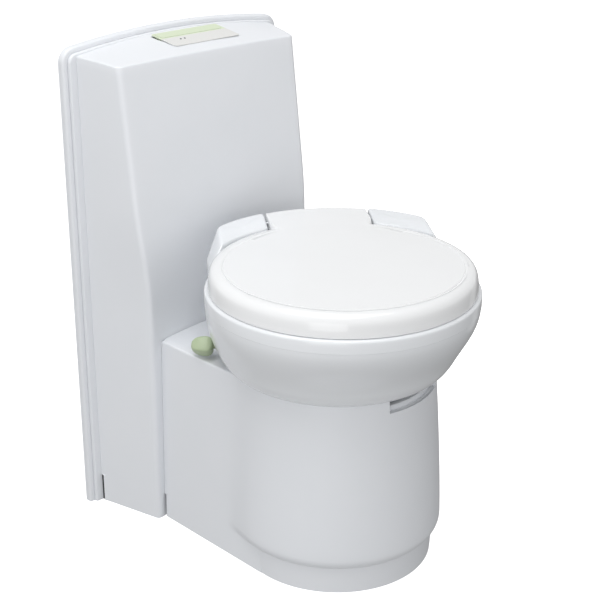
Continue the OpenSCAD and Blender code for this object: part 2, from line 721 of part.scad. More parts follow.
module swivel_collar() {
    color("#8A9096") in_bowl_frame() difference() {
        union() {
            tube(neck_r - run, hub_r, base_h - 44, collar_top);
            tube(neck_r + 24, neck_r - 1, shell_low + seat_gap, shell_low + 4);
            for (a = [18:60:318]) rotate([0, 0, a]) box(neck_r + 10, -2, shell_low + seat_gap,
                ped_top_r - wall - seat_gap, 2,
                shell_low + 4);
        }
        cylinder(r = hub_r, h = deep);
    }
}
pipe_turn = 78;
pipe_r = 132;
pipe_at = pipe_r * [cos(pipe_turn), sin(pipe_turn)];
nozzle_z = rim_z - 26;
nozzle_turn = atan2(pipe_at[0], pipe_at[1] + rim_ahead);
module at_nozzle() {
    about_rim() rotate([0, 0, -nozzle_turn]) children();
}
module flush_nozzle() {
    color("#8F959B") in_bowl_frame() at_nozzle() difference() {
        union() {
            box(-14, mouth_r - 18, nozzle_z - 5, 14, mouth_r - 4.4, nozzle_z + 5);
            box(-9, mouth_r - 20, nozzle_z - 9, 9, mouth_r - 12, nozzle_z);
            along_y(mouth_r - 8, mouth_r + 7, 0, nozzle_z, 4);
        }
        box(-6, mouth_r - 22, nozzle_z - 6, 6, mouth_r - 15, nozzle_z - 2);
    }
}
module nozzle_pipe() {
    pipe_low = shell_low + 4 + seat_gap;
    color("#9BA1A7") in_bowl_frame() {
        translate([pipe_at[0], pipe_at[1], pipe_low]) cylinder(r = 6, h = nozzle_z - pipe_low);
        translate([pipe_at[0], pipe_at[1], nozzle_z]) sphere(r = 6, $fn = 48);
        at_nozzle() along_y(mouth_r + 7 + seat_gap, norm(pipe_at + [0, rim_ahead]), 0, nozzle_z, 6);
    }
}

// ---- Seat and lid on one hinge axis ----
module seat_hole() {
    for (y = [16, -44]) translate([0, y]) circle(r = seat_hole_r, $fn = 120);
    translate([-seat_hole_r, -44]) square([2 * seat_hole_r, 60]);
}
seat_low = rim_z + 2.5;
module seat_ring() {
    color("#F1F2F4") in_bowl_frame() difference() {
        union() {
            about_rim() difference() {
                rotate_extrude($fn = 150) polygon([[0, seat_low], [seat_r - 1, seat_low], [seat_r,
                    seat_low + 3],
                    [seat_r - 2, seat_low + seat_t - 5], [seat_r - 7, seat_low + seat_t - 1.2],
                    [seat_r - 16, seat_low + seat_t], [0, seat_low + seat_t]]);
                linear_plan(seat_low - 1, seat_low + seat_t + 1) seat_hole();
            }
            both_sides() {
                box(tab_hw - 28, hinge_y - 50, hinge_z - 17, tab_hw - 13, hinge_y, hinge_z - 4);
                along_x(tab_hw - 28, tab_hw - 13, hinge_y, hinge_z, 7);
            }
        }
        along_x(-hinge_hw, hinge_hw, hinge_y, hinge_z, pin_r + run);
    }
}
module seat_buffers() {
    color("#C2C6CA") in_bowl_frame() about_rim() for (a = [-50, 50, 130, 230]) rotate([0, 0, a - 90])
        translate([seat_r - 30, 0, rim_z + 0.3]) cylinder(r = 7, h = seat_low - rim_z - 0.3, $fn = 32);
}
lid_edge = lid_h - 1;
lid_ceiling = lid_top - 2 - lid_t;
module lid_outer() {
    polygon([[0, lid_low], [lid_r, lid_low], [lid_r - 0.6, lid_low + 0.45 * lid_edge], [lid_r - 2.5,
        lid_low + 0.68 * lid_edge],
        [lid_r - 6, lid_low + 0.84 * lid_edge], [lid_r - 12, lid_low + 0.93 * lid_edge],
        [lid_r - 22, lid_low + 0.955 * lid_edge], [lid_r - 60, lid_top - 0.8], [0, lid_top]]);
}
module lid_inner() {
    polygon([[0, lid_low - 1], [lid_r - lid_t, lid_low - 1], [lid_r - lid_t, lid_low],
        [lid_r - lid_t - 0.6, lid_low + 0.45 * lid_edge],
        [lid_r - lid_t - 3, lid_low + 0.68 * lid_edge], [lid_r - lid_t - 9, lid_ceiling - 1],
            [lid_r - lid_t - 15, lid_ceiling],
        [0, lid_ceiling]]);
}
tab_front = 120;
module tab_plan(z0, z1, r, y0) {
    linear_plan(z0, z1) intersection() {
        circle(r = r, $fn = 180);
        translate([-tab_hw, y0]) square([2 * tab_hw, r]);
    }
}
module lid_shell() {
    color("#F4F5F7") in_bowl_frame() difference() {
        about_rim() rotate_extrude($fn = 180) lid_outer();
        about_rim() rotate_extrude($fn = 180) lid_inner();
        box(-tab_hw - seat_gap, tab_front - seat_gap, 0, tab_hw + seat_gap, deep / 2, deep);
    }
}
module lid_tab() {
    color("#F4F5F7") in_bowl_frame() difference() {
        union() {
            tab_plan(lid_top - 4, lid_top - 0.5, tab_rear, tab_front);
            difference() {
                tab_plan(hinge_z - 6, lid_top - 0.5, tab_rear, tab_front);
                linear_plan(0, deep) circle(r = tab_rear - 3, $fn = 180);
            }
            both_sides() {
                along_x(tab_hw - 11, tab_hw, hinge_y, hinge_z, 7);
                box(tab_hw - 11, hinge_y - 7, hinge_z, tab_hw, hinge_y + 7, lid_top - 3);
            }
        }
        along_x(-hinge_hw, hinge_hw, hinge_y, hinge_z, pin_r + run);
    }
}
module lid_buffers() {
    color("#C2C6CA") in_bowl_frame() about_rim() for (a = [60, 120]) rotate([0, 0, -a])
        translate([seat_r - 40, 0, seat_low + seat_t + seat_gap])
            cylinder(r = 6, h = lid_ceiling - seat_low - seat_t - seat_gap, $fn = 32);
}

// ---- Valve lever: a hub round the outlet, an arm through the slot, and the knob ----
arm_end = knob_end - knob_l - 12;
arm_hw = 7;
module lever_hub() {
    color("#565C61") in_bowl_frame() difference() {
        union() {
            tube(hub_r - run, hub_r - 9, shell_low + 0.5, lever_z + 6);
            tube(hub_r + 8, hub_r - 8, collar_top + seat_gap, lever_z + 6);
        }
        rotate([0, 0, lever_dir]) box(hub_r + 1, -arm_hw - seat_gap, lever_z - 5 - seat_gap, hub_r + 20,
            arm_hw + seat_gap, deep);
    }
}
module lever_arm() {
    color("#565C61") in_bowl_frame() rotate([0, 0, lever_dir]) {
        box(hub_r + 1 + seat_gap, -arm_hw, lever_z - 5, arm_end, arm_hw, lever_z + 5);
        along_x(arm_end - 2, knob_end - knob_l + 12, 0, lever_z, 3.5);
    }
}
// Turned tulip form with four flats, so that an edge points up and one to each side.
module knob_form() {
    half = 0.83 * knob_r;
    intersection() {
        rotate_extrude($fn = 72) polygon([[0, 0], [6, 0], [9, 1.5], [knob_r - 3, 5], [knob_r - 0.6, 10],
            [knob_r, 14],
            [knob_r - 0.6, 20], [knob_r - 2.5, knob_l - 7], [knob_r - 5.5, knob_l - 2.5], [knob_r - 9,
                knob_l - 0.7],
            [0, knob_l]]);
        rotate([0, 0, 45]) linear_plan(-1, knob_l + 1) polygon(round_rect(-half, -half, half, half, 6));
    }
}
module lever_knob() {
    color("#9DAE82") in_bowl_frame() rotate([0, 0, lever_dir]) difference() {
        translate([knob_end - knob_l, 0, lever_z]) rotate([0, 90, 0]) knob_form();
        along_x(knob_end - knob_l - 2, knob_end - knob_l + 12.2, 0, lever_z, 3.52);
    }
}

// ---- Cassette: tank, valve, spout, vent, handle, wheels, float ----
module tank_plan(d) {
    polygon(round_rect(-tank_hw + d, -tank_front + d, tank_hw - d, tank_rear - d, tank_corner - d));
}
strut_x = 56;
skid_x = 66;
skid_y = 180;
module waste_tank() {
    color("#C7CCD1") difference() {
        union() {
            difference() {
                linear_plan(tank_low, tank_top) tank_plan(0);
                box(-deep / 2, -deep / 2, 0, deep / 2, notch_end, notch_top);
            }
            both_sides() box(strut_x, -tank_front + 10, axle_z - 9, strut_x + 10, notch_end + 1,
                notch_top + 1);
            both_sides() box(skid_x, skid_y, pan_t + seat_gap, skid_x + 10, tank_rear - 20, tank_low + 1);
        }
        difference() {
            linear_plan(tank_low + tank_t, tank_top - tank_t) tank_plan(tank_t);
            box(-deep / 2, -deep / 2, 0, deep / 2, notch_end + tank_t, notch_top + tank_t);
            for (s = [-1, 1]) box(float_x + s * 10.5 - 1.8, float_y - 6, float_z - 6,
                float_x + s * 10.5 + 1.8, float_y + 6, deep);
        }
        along_x(float_x - 20, float_x + 20, float_y, float_z, 3 + run);
        translate([0, 0, tank_top - 10]) cylinder(r = inlet_r, h = 20);
        translate([spout_x, spout_y, tank_top - 10]) cylinder(r = spout_r - 2, h = 20);
        translate([vent_x, vent_y, tank_top - 10]) cylinder(r = 5, h = 20);
        along_x(-deep / 2, deep / 2, axle_y, axle_z, axle_r + 0.02);
    }
}
module handle_brackets() {
    color("#C7CCD1") both_sides() difference() {
        box(tank_hw - 34, tank_rear - 12, handle_z - 8, tank_hw - 27, handle_y + 8, handle_z + 8);
        linear_plan(0, deep) tank_plan(-0.02);
        along_x(tank_hw - 35, tank_hw - 24, handle_y, handle_z, 3.5 + run);
    }
}
housing_x0 = -86;
housing_x1 = 98;
housing_y0 = -70;
housing_y1 = 178;
module valve_housing() {
    color("#5E666D") difference() {
        linear_plan(tank_top + 0.02, housing_top) polygon(round_rect(housing_x0, housing_y0, housing_x1,
            housing_y1, 22));
        linear_plan(tank_top + 3.6, housing_top - 4.5)
            polygon(round_rect(housing_x0 + 5, housing_y0 + 5, housing_x1 - 5, housing_y1 - 5, 17));
        translate([0, 0, tank_top - 1]) cylinder(r = inlet_r, h = 40);
        translate([blade_x, blade_y, tank_top - 1]) cylinder(r = 5.02, h = 40, $fn = 48);
    }
}
module lip_seal() {
    color("#26292C") {
        tube(outlet_r + 5, inlet_r + 0.5, housing_top + 0.02, housing_top + 3);
        tube(outlet_r + 3.5, outlet_r - 0.5, housing_top + 2.9, housing_top + seal_h);
    }
}
module valve_blade() {
    reach = sqrt(blade_x * blade_x + blade_y * blade_y);
    color("#3D4348") difference() {
        union() {
            translate([0, 0, blade_low]) cylinder(r = blade_r, h = 5);
            translate([blade_x, blade_y, blade_low - 1.6]) cylinder(r = 13, h = 8.4);
            translate([blade_x, blade_y, blade_low + 0.5]) rotate([0, 0, atan2(-blade_y, -blade_x)])
                linear_extrude(4) polygon([[0, -10], [reach - 12, -32], [reach - 12, 32], [0, 10]]);
        }
        translate([blade_x, blade_y, blade_low - 5]) cylinder(r = 5 + run, h = 20, $fn = 48);
    }
}
module blade_pin() {
    color("#A4A8AC") translate([blade_x, blade_y, tank_top + 0.04]) {
        cylinder(r = 5, h = 19, $fn = 48);
        translate([0, 0, 18]) cylinder(r = 9, h = 4, $fn = 48);
    }
}
module spout_base() {
    color("#5E666D") translate([spout_x, spout_y, 0]) {
        tube(spout_r + 8, spout_r - 2, tank_top + 0.02, tank_top + 5);
    }
}
module pour_spout() {
    color("#4A5157") difference() {
        union() {
            translate([spout_x, spout_y, tank_top + 5 + seat_gap]) cylinder(r = spout_r + 2,
                h = spout_z - tank_top + spout_r - 5);
            along_x(spout_x - spout_l, spout_x, spout_y, spout_z + 2, spout_r);
        }
        translate([spout_x, spout_y, tank_top]) cylinder(r = spout_r - 2, h = spout_z - tank_top + 6);
        along_x(spout_x - spout_l - 1, spout_x, spout_y, spout_z + 2, spout_r - 3);
    }
}
module spout_cap() {
    color("#8C9C74") translate([spout_x - spout_l, spout_y, spout_z + 2]) rotate([0, -90,
        0]) difference() {
        union() {
            translate([0, 0, -12]) cylinder(r = spout_r + 3.4, h = 15);
            for (a = [0:30:330]) rotate([0, 0, a]) translate([spout_r + 3, 0, -12]) cylinder(r = 1,
                h = 15, $fn = 16);
        }
        translate([0, 0, -13]) cylinder(r = spout_r + run, h = 13.3);
    }
}
vent_travel = 4;
module vent_button() {
    color("#8C9C74") translate([vent_x, vent_y, 0]) {
        translate([0, 0, tank_top + vent_travel + seat_gap]) cylinder(r = 10, h = 5);
        translate([0, 0, tank_top - tank_t - seat_gap - 2]) cylinder(r = 5 - run,
            h = tank_t + vent_travel + 4);
        translate([0, 0, tank_top - tank_t - seat_gap - 3]) cylinder(r = 7, h = 3);
    }
}
handle_drop = 44;
module carry_handle() {
    color("#3D4348") {
        both_sides() {
            along_x(tank_hw - 42, tank_hw - 24.2, handle_y, handle_z, 3.5);
            box(tank_hw - 42, handle_y - 3.5, handle_z - handle_drop, tank_hw - 35, handle_y + 3.5,
                handle_z + 3.5);
        }
        along_x(-tank_hw + 36, tank_hw - 36, handle_y, handle_z - handle_drop, 7);
    }
}
module wheel_axle() {
    color("#A4A8AC") along_x(-tank_hw + 4, tank_hw - 4, axle_y, axle_z, axle_r);
}
module cassette_wheels() {
    color("#33373B") both_sides() difference() {
        union() {
            along_x(tank_hw - 26, tank_hw - 12, axle_y, axle_z, wheel_r - 2);
            along_x(tank_hw - 23, tank_hw - 15, axle_y, axle_z, wheel_r);
            along_x(tank_hw - 28, tank_hw - 10, axle_y, axle_z, 8);
        }
        along_x(tank_hw - 30, tank_hw, axle_y, axle_z, axle_r + run);
    }
}
module level_float() {
    color("#D8A23A") {
        along_x(float_x - 12, float_x + 12, float_y, float_z, 3);
        along_x(float_x - 8, float_x + 8, float_y, float_z, 5.5);
        translate([float_x, float_y, float_z]) rotate([float_hang, 0, 0]) {
            translate([0, 0, -118]) cylinder(r = 3, h = 118);
            translate([0, 0, -132]) cylinder(r = 16, h = 30);
        }
    }
}

wall_flange();
back_panel();
column_shell();
fascia_plate();
flush_key();
indicator_lenses();
control_board();
base_shell();
plinth();
floor_pan();
guide_rails();
neck_bearing();
flush_water_tank();
filler_neck();
filler_cap();
flush_pump();
flush_hose();
panel_screws();
bowl_shell();
bowl_liner();
outlet_tube();
rim_ring();
hinge_ears();
swivel_collar();
flush_nozzle();
nozzle_pipe();
hinge_pins();
seat_ring();
seat_buffers();
lid_shell();
lid_tab();
lid_buffers();
lever_hub();
lever_arm();
lever_knob();
waste_tank();
handle_brackets();
valve_housing();
lip_seal();
valve_blade();
blade_pin();
spout_base();
pour_spout();
spout_cap();
vent_button();
carry_handle();
wheel_axle();
cassette_wheels();
level_float();
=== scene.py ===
"""A free-standing toilet with a bowl that swivels on its pedestal and a waste cassette that pulls out behind.
The file follows the object from the wall forward. Sizes are in millimetres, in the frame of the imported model."""

import bmesh
import bpy
import numpy as np
from mathutils import Matrix, Vector


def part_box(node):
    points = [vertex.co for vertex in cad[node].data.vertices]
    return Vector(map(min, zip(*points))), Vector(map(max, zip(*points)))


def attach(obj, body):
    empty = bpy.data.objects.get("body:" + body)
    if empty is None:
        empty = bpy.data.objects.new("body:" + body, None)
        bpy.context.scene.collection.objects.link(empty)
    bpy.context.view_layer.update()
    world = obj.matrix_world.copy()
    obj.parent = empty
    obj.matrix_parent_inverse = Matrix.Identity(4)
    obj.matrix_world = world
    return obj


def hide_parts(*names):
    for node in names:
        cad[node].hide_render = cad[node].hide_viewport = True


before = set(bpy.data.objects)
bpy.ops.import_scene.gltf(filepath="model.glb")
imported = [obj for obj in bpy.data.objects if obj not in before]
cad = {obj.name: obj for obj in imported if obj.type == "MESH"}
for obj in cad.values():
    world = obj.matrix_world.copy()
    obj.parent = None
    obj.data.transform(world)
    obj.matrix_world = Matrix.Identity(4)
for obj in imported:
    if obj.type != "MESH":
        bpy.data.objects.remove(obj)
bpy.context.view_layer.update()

# ---- The studio ----
# A white sweep under a wide softbox, as catalogue pictures of sanitary ware are taken. The dome round it stands
# for the white walls of the room, so upright faces come out an even light grey against white. The light that a
# studio floor throws back comes from the lower half of the dome, so that the paper can't wash out the bowl.
sweep_half, sweep_glow = 14000.0, 0.85
ground_light, horizon_light, zenith_light, horizon_blend = 0.35, 1.08, 0.12, 0.1
side_light, side_from_way = 0.125, (-0.985, -0.17, 0.0)
# Softboxes: name, watts, width and height, place, and the point each is aimed at, in metres.
softboxes = (("overhead_softbox", 50.5, (2.2, 2.2), (-0.55, -0.2, 2.9), (0, 0, 0.4)),
             ("front_left_softbox", 4.0, (0.85, 0.62), (-1.40, -0.95, 0.36), (-0.17, -0.15, 0.47)),
             ("right_strip", 0.2, (0.24, 0.70), (1.00, -0.165, 0.25), (0.06, -0.21, 0.47)))
lens_mm, sensor_mm, sight_m = 81.04, 36.0, 100.0
camera_at = (-1354.2, -1314.6, 1188.2)
camera_right = (0.71856, -0.69547, 0.00206)
camera_up = (0.26148, 0.27290, 0.92583)
camera_ahead = (0.64444, 0.66472, -0.37794)


def linear(code):
    """The linear colour of an sRGB hex code: c / 12.92 up to 0.04045, else ((c + 0.055) / 1.055) to the 2.4."""
    c = np.array([int(code[i:i + 2], 16) for i in (0, 2, 4)]) / 255
    return tuple(np.where(c <= 0.04045, c / 12.92, ((c + 0.055) / 1.055) ** 2.4)) + (1.0,)


def add_node(tree, kind, sockets, **settings):
    """Adds one shader node with its settings. Each named or numbered socket gets a value, or an output's link."""
    node = tree.nodes.new("ShaderNode" + kind)
    for name, value in settings.items():
        setattr(node, name, value)
    for name, value in sockets.items():
        if isinstance(value, bpy.types.NodeSocket):
            tree.links.new(value, node.inputs[name])
        else:
            node.inputs[name].default_value = value
    return node


scene = bpy.context.scene
scene.view_settings.view_transform = "Standard"
dome = bpy.data.worlds.new("studio_dome")
dome.use_nodes = True
sky = dome.node_tree
sky.nodes.clear()
ray = add_node(sky, "TexCoord", {}).outputs["Generated"]
height = add_node(sky, "SeparateXYZ", {"Vector": ray}).outputs["Z"]
ground = add_node(sky, "MapRange", {"Value": height, "From Min": -horizon_blend, "From Max": horizon_blend,
                                    "To Min": ground_light, "To Max": horizon_light})
fall = add_node(sky, "MapRange", {"Value": height, "To Max": zenith_light - horizon_light})
way = add_node(sky, "VectorMath", {0: ray, 1: side_from_way}, operation="DOT_PRODUCT")
tilt = add_node(sky, "MapRange", {
    "Value": way.outputs["Value"], "From Min": -1.0, "To Min": -side_light, "To Max": side_light})
both = add_node(sky, "Math", {0: ground.outputs["Result"], 1: fall.outputs["Result"]})
brightness = add_node(sky, "Math", {0: both.outputs["Value"], 1: tilt.outputs["Result"]})
# Seen directly the dome is white, so that low views end in white behind the floor.
seen = add_node(sky, "LightPath", {}).outputs["Is Camera Ray"]
shown = add_node(sky, "Math", {0: brightness.outputs["Value"], 1: seen}, operation="MAXIMUM")
dome_light = add_node(sky, "Background", {"Color": (1, 1, 1, 1), "Strength": shown.outputs["Value"]})
add_node(sky, "OutputWorld", {"Surface": dome_light.outputs["Background"]})
scene.world = dome


def set_up(name, data, right, up, back, place):
    """An object in the studio, placed by its three directions and its point in metres."""
    thing = bpy.data.objects.new(name, data)
    scene.collection.objects.link(thing)
    placing = np.eye(4)
    placing[:3] = np.stack([right, up, back, place], -1)
    thing.matrix_world = Matrix(placing.tolist())
    return thing


for name, watts, size, place, aim in softboxes:
    lamp = bpy.data.lights.new(name, "AREA")
    lamp.shape, lamp.size, lamp.size_y, lamp.energy = "RECTANGLE", size[0], size[1], watts
    back = np.array(place, float) - np.array(aim, float)
    back /= np.linalg.norm(back)
    side = np.cross((0, 0, 1), back)
    side /= np.linalg.norm(side)
    set_up(name, lamp, side, np.cross(back, side), back, place)

lens = bpy.data.cameras.new("studio_camera")
lens.lens, lens.sensor_width, lens.sensor_fit, lens.clip_end = lens_mm, sensor_mm, "HORIZONTAL", sight_m
scene.camera = set_up("studio_camera", lens, camera_right, camera_up, -np.array(camera_ahead),
                      np.array(camera_at) / 1000)


def bowl_turned(points):
    """Points drawn in the bowl's own frame, turned about the swivel axis by the bowl's rest angle."""
    c, s = np.cos(np.radians(bowl_angle)), np.sin(np.radians(bowl_angle))
    return np.stack([points[:, 0] * c - points[:, 1] * s, points[:, 0] * s + points[:, 1] * c, points[:, 2]], -1)


def build_piece(name, patches, middle=(0, 0, 0), in_bowl=False, wall=0.0, edge=0.0, crease=38.0, capped=False):
    """A mesh object from grids of points in millimetres, each as (points, rows closed, columns closed[, keep]).
    A quad joins point (i, j) to (i, j+1), (i+1, j+1) and (i+1, j); a closed parameter runs on to its first line,
    and keep drops quads. Doubles are merged, which closes seams and poles. On an open shell, the faces are turned
    so that normal times (face - middle) is positive on the whole. wall is the moulding's thickness, laid inward,
    edge the rounding of its sharp edges, and crease the angle in degrees past which an edge stays sharp. capped
    closes the open ends of a swept section with flat faces. in_bowl: drawn in the bowl's frame, then turned."""
    points, faces, first = [], [], 0
    for grid, rows_closed, cols_closed, *keep in patches:
        rows, cols = grid.shape[:2]
        i, j = np.meshgrid(np.arange(rows - 1 + rows_closed), np.arange(cols - 1 + cols_closed), indexing="ij")
        next_i, next_j = (i + 1) % rows, (j + 1) % cols
        quads = first + np.stack([i * cols + j, i * cols + next_j, next_i * cols + next_j, next_i * cols + j], -1)
        faces.append(quads[keep[0]] if keep else quads.reshape(-1, 4))
        points.append(grid.reshape(-1, 3))
        first += rows * cols
    points, centre = np.concatenate(points) / 1000, np.array([middle], float) / 1000
    if in_bowl:
        points, centre = bowl_turned(points), bowl_turned(centre)
    mesh = bpy.data.meshes.new(name)
    mesh.from_pydata(points, [], np.concatenate(faces).tolist())
    shape = bmesh.new()
    shape.from_mesh(mesh)
    bmesh.ops.remove_doubles(shape, verts=shape.verts, dist=1e-5)
    if capped:
        bmesh.ops.holes_fill(shape, edges=[e for e in shape.edges if e.is_boundary], sides=0)
    bmesh.ops.recalc_face_normals(shape, faces=shape.faces)
    if any(e.is_boundary for e in shape.edges):
        centre = Vector(centre[0])
        if sum((f.calc_center_median() - centre).dot(f.normal) * f.calc_area() for f in shape.faces) < 0:
            bmesh.ops.reverse_faces(shape, faces=shape.faces)
    shape.to_mesh(mesh)
    shape.free()
    mesh.polygons.foreach_set("use_smooth", np.ones(len(mesh.polygons), bool))
    mesh.set_sharp_from_angle(angle=np.radians(crease))
    piece = bpy.data.objects.new(name, mesh)
    scene.collection.objects.link(piece)
    if wall:
        shell = piece.modifiers.new("wall", "SOLIDIFY")
        shell.thickness, shell.offset, shell.use_quality_normals = wall / 1000, -1.0, True
    if edge:
        rounding = piece.modifiers.new("edge", "BEVEL")
        rounding.width, rounding.segments, rounding.limit_method = edge / 1000, 2, "ANGLE"
        rounding.angle_limit, rounding.harden_normals = np.radians(50), True
    return piece


sweep_plane = sweep_half * np.array([[[-1, -1, 0], [1, -1, 0]], [[-1, 1, 0], [1, 1, 0]]], float)
sweep = build_piece("white_sweep", [(sweep_plane, False, False)], middle=(0, 0, -1000))
# Matt background paper: it glows a little and gives no highlight.
paper = bpy.data.materials.new("matt_white_paper")
paper.use_nodes = True
for socket, value in (("Base Color", linear("FAFAFA")), ("Roughness", 0.9), ("Specular IOR Level", 0.1),
                      ("Emission Color", (1, 1, 1, 1)), ("Emission Strength", sweep_glow)):
    paper.node_tree.nodes["Principled BSDF"].inputs[socket].default_value = value
sweep.data.materials.append(paper)
sweep.visible_diffuse = sweep.visible_glossy = False

# ---- Wall flange ----
# A shallow moulded ABS tray that trims the opening in the wall: an outer lip, a fine groove and an inner step.
# Moulded in one piece with softened edges; the column cover is screwed to it from behind.
flange_hw, flange_top, flange_rise, flange_corner = 218.0, 787.0, 16.0, 24.0
wall_y, lip_y, step_y = 380.0, 368.0, 362.0
lip_soft, groove_in, groove_deep, step_in, step_soft, face_in = 4.5, 8.4, 0.9, 9.0, 2.5, 22.9
lip_wall_in, step_wall_in, lip_back_y, step_back_y = 3.5, 12.5, 371.5, 365.5
opening_hw, opening_top = 184.0, 737.0


def flange_row(inset):
    """The flange's outline from foot to foot for each inset: straight sides, a corner arc, the arched top as an
    arc through the rise over half the width, and back down. Concentric: a corner's radius shrinks by the inset."""
    d = inset[:, None]
    arch = (flange_hw ** 2 + flange_rise ** 2) / (2 * flange_rise)
    hw, big, rc = flange_hw - d, arch - d, flange_corner - d
    cz = flange_top - arch
    fz = cz + np.sqrt((big - rc) ** 2 - (hw - rc) ** 2)
    a = np.arctan2(fz - cz, hw - rc)
    up, turn_in = np.linspace(0, 1, 9)[None, :-1], np.linspace(0, 1, 10)[None]
    over = a + (np.pi - 2 * a) * np.linspace(0, 1, 41)[None, 1:-1]
    x = np.concatenate([hw + 0 * up, hw - rc + rc * np.cos(a * turn_in), big * np.cos(over)], 1)
    z = np.concatenate([fz * up, fz + rc * np.sin(a * turn_in), cz + big * np.sin(over)], 1)
    down = slice(up.size + turn_in.size - 1, None, -1)
    return np.concatenate([x, -x[:, down]], 1), np.concatenate([z, z[:, down]], 1)


def moulded(name, light_hex, shade_hex, roughness, peel_mm, peel_um, mottle_mm=90.0, blotch=0.04):
    """A moulded plastic: colour drifts between two near shades over mottle_mm, gloss drifts with it by blotch,
    and the skin has soft waves of peel_mm across and peel_um high, as a tool's polish and the cooling leave it.
    Real grain is 0.1 to 0.3 mm wide, too fine for the render, so it is drawn 0.7 mm wide or wider."""
    plastic = bpy.data.materials.new(name)
    plastic.use_nodes = True
    tree = plastic.node_tree
    skin = tree.nodes["Principled BSDF"]
    place = add_node(tree, "TexCoord", {}).outputs["Object"]
    drift = add_node(tree, "TexNoise", {
        "Vector": place, "Scale": 1000 / mottle_mm, "Detail": 3.0, "Roughness": 0.55}).outputs["Fac"]
    colour = add_node(tree, "Mix", {"Factor": drift, 6: linear(light_hex), 7: linear(shade_hex)}, data_type="RGBA")
    gloss = add_node(tree, "MapRange", {
        "Value": drift, "To Min": roughness - 2 * blotch, "To Max": roughness + 2 * blotch})
    waves = add_node(tree, "TexNoise", {"Vector": place, "Scale": 1000 / peel_mm, "Detail": 2.0})
    relief = add_node(tree, "Bump", {"Height": waves.outputs["Fac"], "Distance": peel_um / 1e6, "Strength": 1.0})
    tree.links.new(colour.outputs[2], skin.inputs["Base Color"])
    tree.links.new(gloss.outputs["Result"], skin.inputs["Roughness"])
    tree.links.new(relief.outputs["Normal"], skin.inputs["Normal"])
    return plastic


quarter = np.radians(np.linspace(0, 90, 6))
bend, lift = 1 - np.cos(quarter), 1 - np.sin(quarter)
face_insets = np.concatenate([[0.0], lip_soft * bend, [groove_in, groove_in + 0.3, step_in, step_in],
                              step_in + step_soft * bend, [face_in]])
face_depths = np.concatenate([[wall_y], lip_y + lip_soft * lift,
                              [lip_y, lip_y + groove_deep, lip_y + groove_deep, lip_y - 1],
                              step_y + step_soft * lift, [step_y]])
back_insets = [face_in, step_wall_in, step_wall_in, lip_wall_in, lip_wall_in]
back_depths = [step_back_y, step_back_y, lip_back_y, lip_back_y, wall_y]
inset = np.concatenate([face_insets, [face_in, face_in], back_insets])
depth = np.concatenate([face_depths, [step_y, step_back_y], back_depths])[:, None]
x, z = flange_row(inset)
at_opening = np.zeros((len(inset), 1), bool)
at_opening[len(face_insets):len(face_insets) + 2] = True
x = np.where(at_opening, np.clip(x, -opening_hw, opening_hw), x)
z = np.where(at_opening, np.minimum(z, opening_top), z)
ring = np.stack([x, depth + 0 * x, z], -1)
flange = build_piece("flange_moulding", [(ring, True, False)], capped=True)
# White ABS from a finely eroded tool: a satin skin that spreads every highlight into a wide soft sheen.
abs_satin = moulded("white_abs_satin_moulded", "E8EAEE", "E4E7EB", 0.35, 2.4, 3.0, blotch=0.03)
flange.data.materials.append(abs_satin)
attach(flange, "stand")
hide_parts("wall_flange")

# ---- Column cover ----
# The cistern column: one tall ABS moulding, tapered in plan, hollow across its lower front and leaning back
# above. Its crowned top has an opening for the control fascia, and the rear is open towards the flange.
column_rear_hw, column_top_hw, column_low_hw, column_rear_y = 197.0, 178.0, 168.0, 361.7
widen_from, widen_to, sag_from, sag_to = 360.0, 540.0, 400.0, 700.0
column_low_y, column_lean, lean_from, lean_soft = 243.0, 0.127, 380.0, 120.0
column_hollow, column_top, column_crest, column_rise, column_fall = 22.0, 753.5, 2.0, 23.0, 15.5
column_edge_r, column_rim_r, column_wall = 9.0, 2.2, 3.5
front_share, corner_share = 0.5, 0.6
fascia_x, fascia_l, fascia_d, fascia_skew, fascia_behind, fascia_corner = 11.0, 132.0, 47.0, 14.0, 7.0, 4.0
recess_in, recess_lip, key_play, key_reach, foot_gap, foot_gap_h = 3.0, 4.0, 0.35, 0.6, 6.0, 49.0
bay_hw, bay_top, bay_behind = 141.0, 292.0, 300.0


def ramp(a, b, v):
    """Smooth step from 0 at a to 1 at b: t squared times (3 - 2t)."""
    t = np.clip((v - a) / (b - a), 0, 1)
    return t * t * (3 - 2 * t)


def column_hw(z):
    """Half width of the front: the lower width, eased to the upper one between two heights."""
    return column_low_hw + (column_top_hw - column_low_hw) * ramp(widen_from, widen_to, z)


def column_edge_y(z):
    """How far back the front edges stand: level below, then a lean that starts as a parabola."""
    u = np.maximum(0, z - lean_from)
    return column_low_y + column_lean * np.where(u < lean_soft, u * u / (2 * lean_soft), u - lean_soft / 2)


def column_front_y(x, z, d=0.0):
    """The hollow front: the edge's distance plus a sag that is fullest in the middle and fades out above."""
    sag = column_hollow * (1 - ramp(sag_from, sag_to, z))
    return column_edge_y(z) + d + sag * (1 - (x / (column_hw(z) - d)) ** 2)


def column_crown(x, y):
    """Height of the top: straight from front to rear, crowned across by a parabola that deepens to the rear."""
    front = column_edge_y(column_top)
    t = (y - front) / (column_rear_y - front)
    front_z = column_top + column_crest * (1 - (x / column_top_hw) ** 2) * (1 - t)
    return front_z + t * (column_rise - column_fall * (x / column_rear_hw) ** 2)


